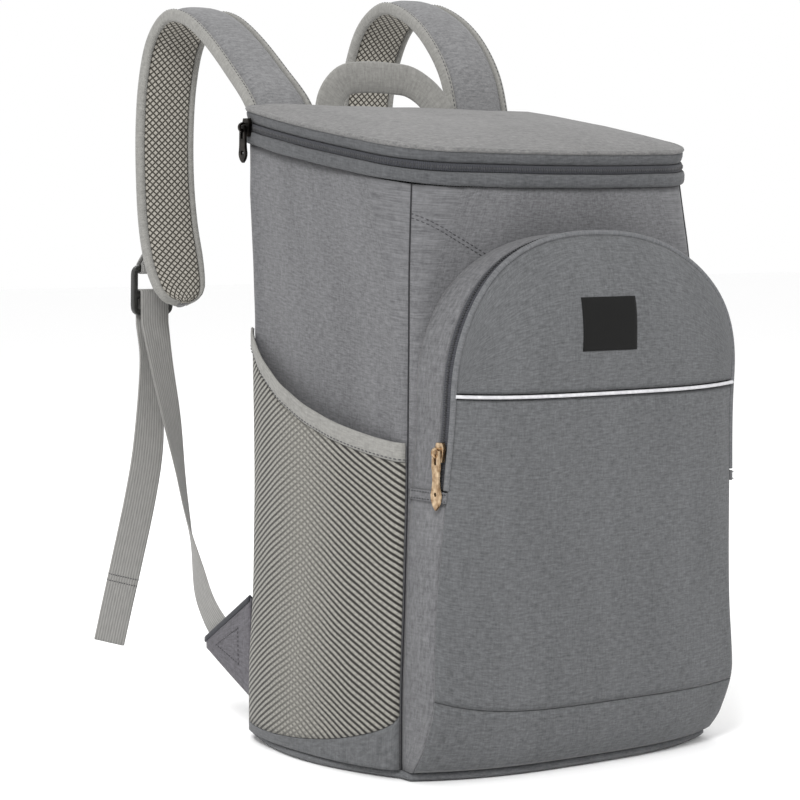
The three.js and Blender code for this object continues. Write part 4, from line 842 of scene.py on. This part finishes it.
def repeated(name, lines, across, pitch, size, material, closed=False, body="bag"):
    mesh = bpy.data.meshes.new(name)
    points = []
    edges = []
    for line in lines:
        first = len(points)
        points += (np.asarray(line) * 0.001).tolist()
        edges += [(k, k + 1) for k in range(first, len(points) - 1)]
        if closed:
            edges.append((len(points) - 1, first))
    mesh.from_pydata(points, edges, [])
    wide = mesh.attributes.new("across", "FLOAT_VECTOR", "POINT")
    wide.data.foreach_set("vector", np.tile(np.asarray(across, float), len(points)))
    piece = linked(name, mesh)
    rows = piece.modifiers.new("rows", "NODES")
    rows.node_group = ROW_TREE
    given = {"Pitch": pitch * 0.001, "Size": [v * 0.001 for v in size], "Material": material}
    for socket in ROW_TREE.interface.items_tree:
        if socket.in_out == "INPUT" and socket.name in given:
            rows[socket.identifier] = given[socket.name]
    bpy.context.view_layer.update()
    placed = piece.evaluated_get(bpy.context.evaluated_depsgraph_get())
    made = bpy.data.meshes.new_from_object(placed)
    piece.modifiers.clear()
    piece.data = made
    made.shade_smooth()
    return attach(piece, body)


def sewn(name, lines, pitch=3.6, across=(0, 0, 1)):
    """Rows of stitches. Each is drawn a little thicker than real thread, so that it shows."""
    return repeated(name, lines, across, pitch, (pitch * 0.74, 0.75, 0.75), THREAD)


def toothed_row(name, lines, across, closed=False):
    return repeated(name, lines, across, 2.0, (1.2, 1.4, 2.6), COIL, closed=closed)


def laid_on(points, piece, way, lift=0.2):
    """Points moved along a way until they meet a piece, in millimetres."""
    tree = mathutils.bvhtree.BVHTree.FromObject(piece, bpy.context.evaluated_depsgraph_get())
    way = Vector(way).normalized()
    found = []
    for point in points:
        start = Vector(point) * 0.001
        hit, _, _, _ = tree.ray_cast(start - way * 0.08, way)
        spot = start if hit is None else hit - way * lift * 0.001
        found.append([c * 1000 for c in spot])
    return np.array(found)


# The net side pockets

def mouth_height(along):
    fall = np.sin((1 - along) * np.pi) * 0.16
    return NET_FRONT_HEIGHT + (NET_BACK_HEIGHT - NET_FRONT_HEIGHT) * (along**1.5 - fall * along)


def net_base_height(along):
    return NET_FRONT_SEAM + (NET_BACK_SEAM - NET_FRONT_SEAM) * np.sqrt(along) - 6 * np.sin(along * np.pi)


def side_place(along, up, out):
    outline = wall_outline("right", body_section(up), -out)
    steps = np.linalg.norm(np.diff(outline, axis=0), axis=1)
    at = np.concatenate([[0], np.cumsum(steps)])
    left = 1 + (at[-1] - 6 - 1) * along
    return np.interp(left, at, outline[:, 0]), np.interp(left, at, outline[:, 1])


def net_grid(sign, heights, proud, count=44):
    rows = []
    for height_of in heights:
        row = []
        for along in np.linspace(0, 1, count + 1):
            z = float(height_of(along))
            rise = 1 + (0.72 - 1) * min(max(z / NET_BACK_HEIGHT, 0), 1)
            bulge = 0.7 + 13 * (1 - abs(2 * along - 1) ** 2.4) * rise
            x, y = side_place(along, float(up_at(0, z)), bulge + proud)
            row.append([sign * x, y, z])
        rows.append(row)
    return facing(np.array(rows), (0, 0, 150))


def between(low, high, count):
    return [lambda a, t=t: low(a) * (1 - t) + high(a) * t for t in np.linspace(0, 1, count + 1)]


def net_pockets():
    for side, sign in SIDES.items():
        foot = lambda a: WALL_FOOT
        seam = lambda offset: lambda a: net_base_height(a) + offset
        hem = lambda a: mouth_height(a) - 13
        grid = net_grid(sign, between(foot, seam(-0.2), 10), 1.6)
        strip = cloth_piece(f"net_base_{side}", grid, MELANGE_POCKET, thick=1.6)
        dressed(strip, f"mesh_base_{side}")

        grid = net_grid(sign, between(seam(0.2), lambda a: hem(a) - 0.35, 44), 1.6)
        t = np.linspace(0, 1, 45)[:, None]
        a = np.abs(np.linspace(-1, 1, 45))[None]
        hold = (1 - t**10) * (1 - (1 - t) ** 12) * (1 - a**14)
        soft = 1.0 * ripple(grid, 95, 51 + sign) + 0.4 * ripple(grid * [1, 1, 0.25], 26, 53 + sign)
        grid = puffed(grid, soft * hold)
        net = cloth_piece(f"net_{side}", grid, SIDE_NET, thick=1.2, level=True)
        dressed(net, f"mesh_pocket_{side}")
        length = np.linalg.norm(np.diff(grid[:, 44], axis=0), axis=1).sum()
        length = max(length, np.linalg.norm(np.diff(grid[:, 0], axis=0), axis=1).sum()) * 0.001

        heights = [hem, *[lambda a, o=o: hem(a) + o for o in (0.8, 2.5, 6, 10, 12)], mouth_height]
        grid = net_grid(sign, heights, 2.4)
        rise = np.array([-0.5, 0.1, 0.45, 0.5, 0.5, 0.4, -0.5])[:, None]
        wave = 0.5 * ripple(grid * [1, 1, 0.1], 30, 61 + sign) * (1 - a**12)
        grid = puffed(grid, rise + wave)
        hem_piece = cloth_piece(f"net_hem_{side}", grid, BINDING_FLAT, thick=2.4)
        dressed(hem_piece, f"mesh_binding_{side}")
        row = laid_on(grid[1] + (grid[2] - grid[1]) * 0.6, hem_piece, (-sign, 0, 0))
        sewn(f"net_hem_seam_{side}", [row])


# The handle, the straps, the webbing and the wings

def flat_ring(thick, round_by=0.12):
    """A flat band's section: its faces are thick apart and its edges are rounded."""
    half = thick / 2
    top = [(-1, 0), (-1 + round_by * 0.3, half * 0.7), (-1 + round_by, half)]
    top += [(-0.5, half), (0, half), (0.5, half)]
    top += [(1 - round_by, half), (1 - round_by * 0.3, half * 0.7), (1, 0)]
    return top + [(u, -level) for u, level in top[-2:0:-1]]


def handle():
    left = [(-52, 398), (-52.5, 424), (-54, 444), (-48, 462), (-34, 474.5), (-14, 477.5)]
    right = [(8, 477), (26, 474.5), (42, 463), (50, 446), (50, 424), (49, 398)]
    line = smooth_route([(x, 0, z) for x, z in left + right], 64)[:, ::2]
    grid = []
    for i, (x, z) in enumerate(line):
        step = line[min(i + 1, len(line) - 1)] - line[max(i - 1, 0)]
        step = step / np.hypot(*step)
        wide = 13 * (1 - 0.1 * np.clip((z - 440) / 30, 0, 1))
        out = 0.35 + 4.0 * np.clip((z - 420) / 8, 0, 1) + 9 * np.clip((z - 448) / 29, 0, 1)
        centre = np.array([x, BACK_Y + out + 1.2, z])
        side = np.array([step[1], 0, -step[0]])
        bend = 1.2 * np.clip((z - 440) / 30, 0, 1)
        section = flat_ring(2.4, 0.1)
        grid.append([centre + side * u * wide + [0, level - bend * (1 - u * u), 0] for u, level in section])
    piece = cloth_piece("handle_web", grid, BINDING_FLAT, wrap=True, close=True)
    dressed(piece, "carry_handle")


def strap_route(name, count=96):
    rows = [(STRAP_X, BACK_Y + out, height, wide) for out, height, wide in STRAP_ROUTES[name]]
    rows = smooth_route(rows, count)
    steps = np.linalg.norm(np.diff(rows[:, :3], axis=0), axis=1)
    left = np.concatenate([np.cumsum(steps[::-1])[::-1], [0]])
    past = np.clip(1 - left / 13, 0, 1)
    rows[:, 3] = np.maximum(rows[:, 3], 0.74 * (left < 40)) * np.sqrt(np.maximum(1 - 0.93 * past**2, 0))
    return rows


def on_side(grid, sign):
    return np.asarray(grid) * [sign, 1, 1]


def pad_profile():
    across = np.sin(np.linspace(-0.5, 0.5, 17) * np.pi)
    top = [(u, 3.2 + 5.0 * (1 - abs(u) ** 3.2)) for u in across[1:-1]]
    return [(-1, 0.5), (-1.0, 2.6)] + top + [(1.0, 2.6), (1, 0.5), (0.5, 0.35), (-0.5, 0.35)]


def filled(piece, held, cap, pressure=4.0):
    """Blows a padded piece up with a cloth simulation. The held points stay where they are sewn, and no
    other moves more than cap, in millimetres."""
    mesh = piece.data
    start = np.empty(len(mesh.vertices) * 3)
    mesh.vertices.foreach_get("co", start)
    sewn_in = piece.vertex_groups.new(name="sewn_in")
    sewn_in.add(held, 1.0, "REPLACE")
    cloth = piece.modifiers.new("filling", "CLOTH")
    cloth.settings.use_pressure = True
    cloth.settings.uniform_pressure_force = pressure
    cloth.settings.vertex_group_mass = "sewn_in"
    cloth.settings.effector_weights.gravity = 0
    cloth.settings.tension_stiffness = 25
    cloth.settings.compression_stiffness = 10
    cloth.settings.bending_stiffness = 0.6
    cloth.point_cache.frame_start = 1
    cloth.point_cache.frame_end = 20
    for moment in range(1, 21):
        bpy.context.scene.frame_set(moment)
    placed = piece.evaluated_get(bpy.context.evaluated_depsgraph_get())
    end = np.empty(len(mesh.vertices) * 3)
    placed.data.vertices.foreach_get("co", end)
    piece.modifiers.remove(cloth)
    piece.vertex_groups.remove(sewn_in)
    moved = (end - start).reshape(-1, 3)
    length = np.maximum(np.linalg.norm(moved, axis=1, keepdims=True), 1e-9)
    moved = moved * np.minimum(1, cap * 0.001 / length)
    mesh.vertices.foreach_set("co", start + moved.ravel())
    mesh.update()
    bpy.context.scene.frame_set(1)
    print("filled", piece.name, "most moved, mm:", round(float(length.max()) * 1000, 2))


def straps():
    pad_width = STRAP_WIDTH - 10
    for side, sign in SIDES.items():
        rows = strap_route(side)
        route = [(row[:3], 0.0, row[3], 1.0) for row in rows]
        grid = on_side(band(route, pad_width, pad_profile()), sign)
        pad = cloth_piece(f"strap_cushion_{side}", grid, MELANGE_PAD, wrap=True, close=True)
        lining = [(-1, 0.2), (-1, -1.0), (-0.9, -2.0), (-0.5, -2.5), (0, -2.6)]
        lining += [(0.5, -2.5), (0.9, -2.0), (1, -1.0), (1, 0.2)]
        grid = on_side(band(route, pad_width, lining), sign)
        middle = grid.mean(axis=(0, 1))
        net = cloth_piece(f"strap_lining_{side}", grid, STRAP_NET, centre=middle, wrap=True, close=True)
        ring = len(pad_profile())
        held = [k for k in range(len(pad.data.vertices)) if k % ring not in range(4, ring - 6)]
        held += [k for k in range(len(pad.data.vertices)) if k // ring < 2 or k // ring > len(rows) - 3]
        filled(pad, sorted(set(held)), 3.0)
        dressed(pad, f"strap_pad_{side}")
        dressed(net, f"strap_mesh_{side}")
        for edge, way in (("inner", -1), ("outer", 1)):
            ring = [(1.0, 5.0), (1.05, 5.9), (1.14, 5.9), (1.21, 4.8), (1.235, 2.5), (1.235, -0.5)]
            ring += [(1.21, -2.4), (1.14, -3.3), (1.05, -3.3), (1.0, -2.4)]
            grid = on_side(band(route, pad_width, [(way * u, level) for u, level in ring]), sign)
            piece = cloth_piece(f"strap_binding_{edge}_{side}", grid, BINDING_FLAT, wrap=True, close=True)
            dressed(piece, f"strap_binding_{edge}_{side}")
            lines = [grid[:-3, 2] * 0.7 + grid[:-3, 1] * 0.3]
            sewn(f"strap_seam_{edge}_{side}", lines, across=(1, 0, 0))


def buckle_point(name, up, forward):
    tilt = math.radians(2)
    y = BACK_Y + BUCKLE_HANG[name] - up * math.sin(tilt) + forward * math.cos(tilt)
    return np.array([STRAP_X, y, BUCKLE_Z + up * math.cos(tilt) + forward * math.sin(tilt)])


def round_bar(name, bar, start, end, count):
    places = []
    for angle in np.radians(np.linspace(start, end, count + 1)):
        cos, sin = math.cos(angle), math.sin(angle)
        up = bar + 4.0 * np.sign(sin) * abs(sin) ** 0.5
        places.append(buckle_point(name, up, 4.0 * np.sign(cos) * abs(cos) ** 0.5))
    return places


def buckle_loops():
    for side, sign in SIDES.items():
        rows = strap_route(side)
        half = len(rows) // 2
        outer = lambda z: np.interp(-z, -rows[half:, 2], rows[half:, 1]) + 8.2
        face = lambda z, lift: np.array([STRAP_X, outer(z) + lift, z])
        places = [face(z, 2.1) for z in (366, 361, 356, 352)]
        places += round_bar(side, 17.5, 140, 400, 16)
        places += [face(z, 4.0) for z in (356, 360, 364, 368)]
        ends = smooth_route([(*place, 0.0) for place in places], 70)
        route = [(row[:3], 0.0, 1.0, 1.0) for row in ends]
        grid = on_side(band(route, WEBBING_WIDTH - 1, flat_ring(1.6)), sign)
        piece = cloth_piece(f"buckle_webbing_{side}", grid, WEBBING_CLOTH, wrap=True, close=True)
        dressed(piece, f"buckle_loop_{side}")


WING_X, WING_Y = wall_outline("right", body_section(float(up_at(BACK_Y, 60.0))))[-1]
WING_FACE = WING_X + SEAM_GAP


def webbings():
    inner = WING_FACE - 0.8 - 0.525
    for side, sign in SIDES.items():
        nearer = BUCKLE_HANG["left"] - BUCKLE_HANG[side]
        lead = [(inner, WING_Y + WING_LENGTH * 0.45, 62.0, -90.0)]
        for out, height, along, turn in WING_WEBBING[::-1]:
            x = STRAP_X + (inner - STRAP_X) * along
            lead.append((x, BACK_Y + out - nearer * (1 - along), height, turn))
        tail = [(STRAP_X, BACK_Y + out - nearer, height, turn) for out, height, turn in FREE_WEBBING]
        around = [(*place, 0.0) for place in round_bar(side, -4, 180, 0, 12)]
        lead = smooth_route(lead, 70)
        tail = smooth_route(tail, 90)
        hem = tail[-1, 2] + WEBBING_HEM
        rows = np.concatenate([lead, around, tail])
        thick = [2.0 if i >= len(rows) - len(tail) and row[2] < hem else 1.0 for i, row in enumerate(rows)]
        route = [(row[:3], row[3], 1.0, deep) for row, deep in zip(rows, thick)]
        grid = on_side(band(route, WEBBING_WIDTH, flat_ring(1.6)), sign)
        piece = cloth_piece(f"webbing_band_{side}", grid, WEBBING_CLOTH, wrap=True, close=True)
        dressed(piece, f"webbing_{side}")
        hem_row = thick.index(2.0)
        lines = [grid[hem_row + offset, 1:8] + [0, 0.3, 0] for offset in (1, 3)]
        lines += [grid[hem_row + offset, 9:16] - [0, 0.3, 0] for offset in (1, 3)]
        sewn(f"webbing_tack_{side}", lines, pitch=2.0, across=(0, 0, 1))


def wing_edges(t):
    low = WING_MIDDLE - WING_ROOT * 0.44
    high = WING_MIDDLE + WING_ROOT * 0.56
    return low + (55.5 - low) * t, high + (64.5 - high) * t


def wings():
    for side, sign in SIDES.items():
        t = np.linspace(0, 1, 21)
        y = WING_Y + SEAM_GAP + WING_LENGTH * t
        low, high = wing_edges(t)
        up = np.linspace(0, 1, 15)[:, None]
        z = low * (1 - up) + (high - 2.0) * up
        edge = np.minimum(np.minimum(up, 1 - up) * (high - low), (1 - t) * WING_LENGTH)
        flat = np.stack([np.zeros_like(z), np.broadcast_to(y, z.shape), z], axis=-1)
        x = WING_FACE + 2.4 - 0.7 * np.exp(-edge / 1.4) + 0.4 * ripple(flat, 40, 71)
        grid = on_side(np.stack([x, np.broadcast_to(y, x.shape), z], axis=-1), sign)
        cloth = cloth_piece(f"wing_cloth_{side}", grid, WING_CLOTH, thick=2.4)
        dressed(cloth, f"wing_{side}")
        corners = np.array([[0, 112, 76], [0, 142, 60], [0, 112, 50], [0, 112, 76]], float)
        steps = np.linspace(0, 1, 10)[:, None]
        lines = [corners[k] + (corners[k + 1] - corners[k]) * steps for k in range(3)]
        lines = [on_side(line + [WING_FACE, 0, 0], sign) for line in lines]
        lines = [laid_on(line, cloth, (-sign, 0, 0)) for line in lines]
        sewn(f"wing_seam_{side}", lines, pitch=3.0, across=(0, 1, 0))
        up = np.array([0.0, 0.1, 0.3, 0.7, 0.9, 1.0])[:, None]
        proud = np.array([0.1, 0.8, 1.1, 1.1, 0.8, 0.0])[:, None]
        z = (high - 5) + 5 * up
        x = np.broadcast_to(WING_FACE + 2.2 + proud, z.shape)
        grid = on_side(np.stack([x, np.broadcast_to(y, z.shape), z], axis=-1), sign)
        tape = cloth_piece(f"wing_tape_{side}", grid, ZIP_TAPE_AND_SHADE, thick=3.0)
        dressed(tape, f"wing_binding_{side}")


# Hard pieces keep the shape of their solids, with their edges rounded.

def rounded(name, node, material, body="bag", width=0.6):
    source = NODES[node]
    mesh = source.data.copy()
    mesh.transform(source.matrix_world)
    shape = bmesh.new()
    shape.from_mesh(mesh)
    bmesh.ops.remove_doubles(shape, verts=shape.verts, dist=0.00002)
    bmesh.ops.dissolve_limit(shape, angle_limit=math.radians(2), verts=shape.verts, edges=shape.edges)
    shape.to_mesh(mesh)
    shape.free()
    mesh.materials.clear()
    mesh.materials.append(material)
    piece = linked(name, mesh)
    edge = piece.modifiers.new("rounded edges", "BEVEL")
    edge.width = width * 0.001
    edge.segments = 2
    edge.limit_method = "ANGLE"
    edge.angle_limit = math.radians(50)
    return dressed(piece, node, body=body)


def hard_pieces():
    for side in SIDES:
        rounded(f"buckle_frame_{side}", f"buckle_{side}", NYLON, width=1.1)
    rounded("pocket_slider_metal", "pocket_slider", BRASS)
    rounded("pocket_pull_metal", "pocket_pull", BRASS, body="pocket_pull", width=0.45)
    rounded("lid_slider_metal", "lid_slider", BLACK_METAL)
    rounded("lid_pull_metal", "lid_pull", BLACK_METAL, body="lid_pull", width=0.45)


# Light, floor and camera

def area_light(name, place, aim, size, power):
    lamp = bpy.data.lights.new(name, "AREA")
    lamp.shape = "DISK"
    lamp.size = size
    lamp.energy = power
    light = linked(name, lamp)
    light.location = place
    light.rotation_euler = (Vector(aim) - Vector(place)).to_track_quat("-Z", "Y").to_euler()


def studio():
    mesh = bpy.data.meshes.new("floor")
    corners = [(-9, -9, -0.0005), (9, -9, -0.0005), (9, 9, -0.0005), (-9, 9, -0.0005)]
    mesh.from_pydata(corners, [], [(0, 1, 2, 3)])
    pale, _, _ = new_material("pale_floor", Base_Color=linear("#fcfcfc"), Roughness=1.0)
    mesh.materials.append(pale)
    floor = linked("floor", mesh)
    area_light("key", (-1.9, -1.7, 2.2), (0, 0, 0.25), 0.9, 70)
    area_light("fill", (2.2, -1.7, 1.2), (0, 0, 0.25), 1.8, 4)
    area_light("rear", (0.4, 2.2, 2.4), (0, 0, 0.3), 1.6, 24)
    world = bpy.data.worlds.new("white_room")
    world.use_nodes = True
    world.node_tree.nodes["Background"].inputs["Color"].default_value = (1, 1, 1, 1)
    world.node_tree.nodes["Background"].inputs["Strength"].default_value = 1.0
    bpy.context.scene.world = world
    bpy.context.scene.view_settings.view_transform = "Standard"


def camera():
    data = bpy.data.cameras.new("camera")
    data.sensor_width = 36
    data.lens = 121.5
    data.shift_x = -0.0923
    data.clip_end = 30
    view = linked("camera", data)
    view.location = (-1.1616, -1.5471, 0.3866)
    view.rotation_euler = (math.radians(90 - 4.24), 0, math.radians(-36.9))
    bpy.context.scene.camera = view


shell = box_shell()
base_cushion()
lid_pieces()
pocket_pieces()
net_pockets()
handle()
straps()
buckle_loops()
hard_pieces()
webbings()
wings()

seam = np.linspace((-119, -108, 376), (-67, -108, 348), 30)
rows = [laid_on(seam + [0, 0, offset], shell, (0, 1, 0)) for offset in (-1.5, 1.5)]
sewn("slanting_seam", rows, across=(0, 0, 1))

studio()
camera()
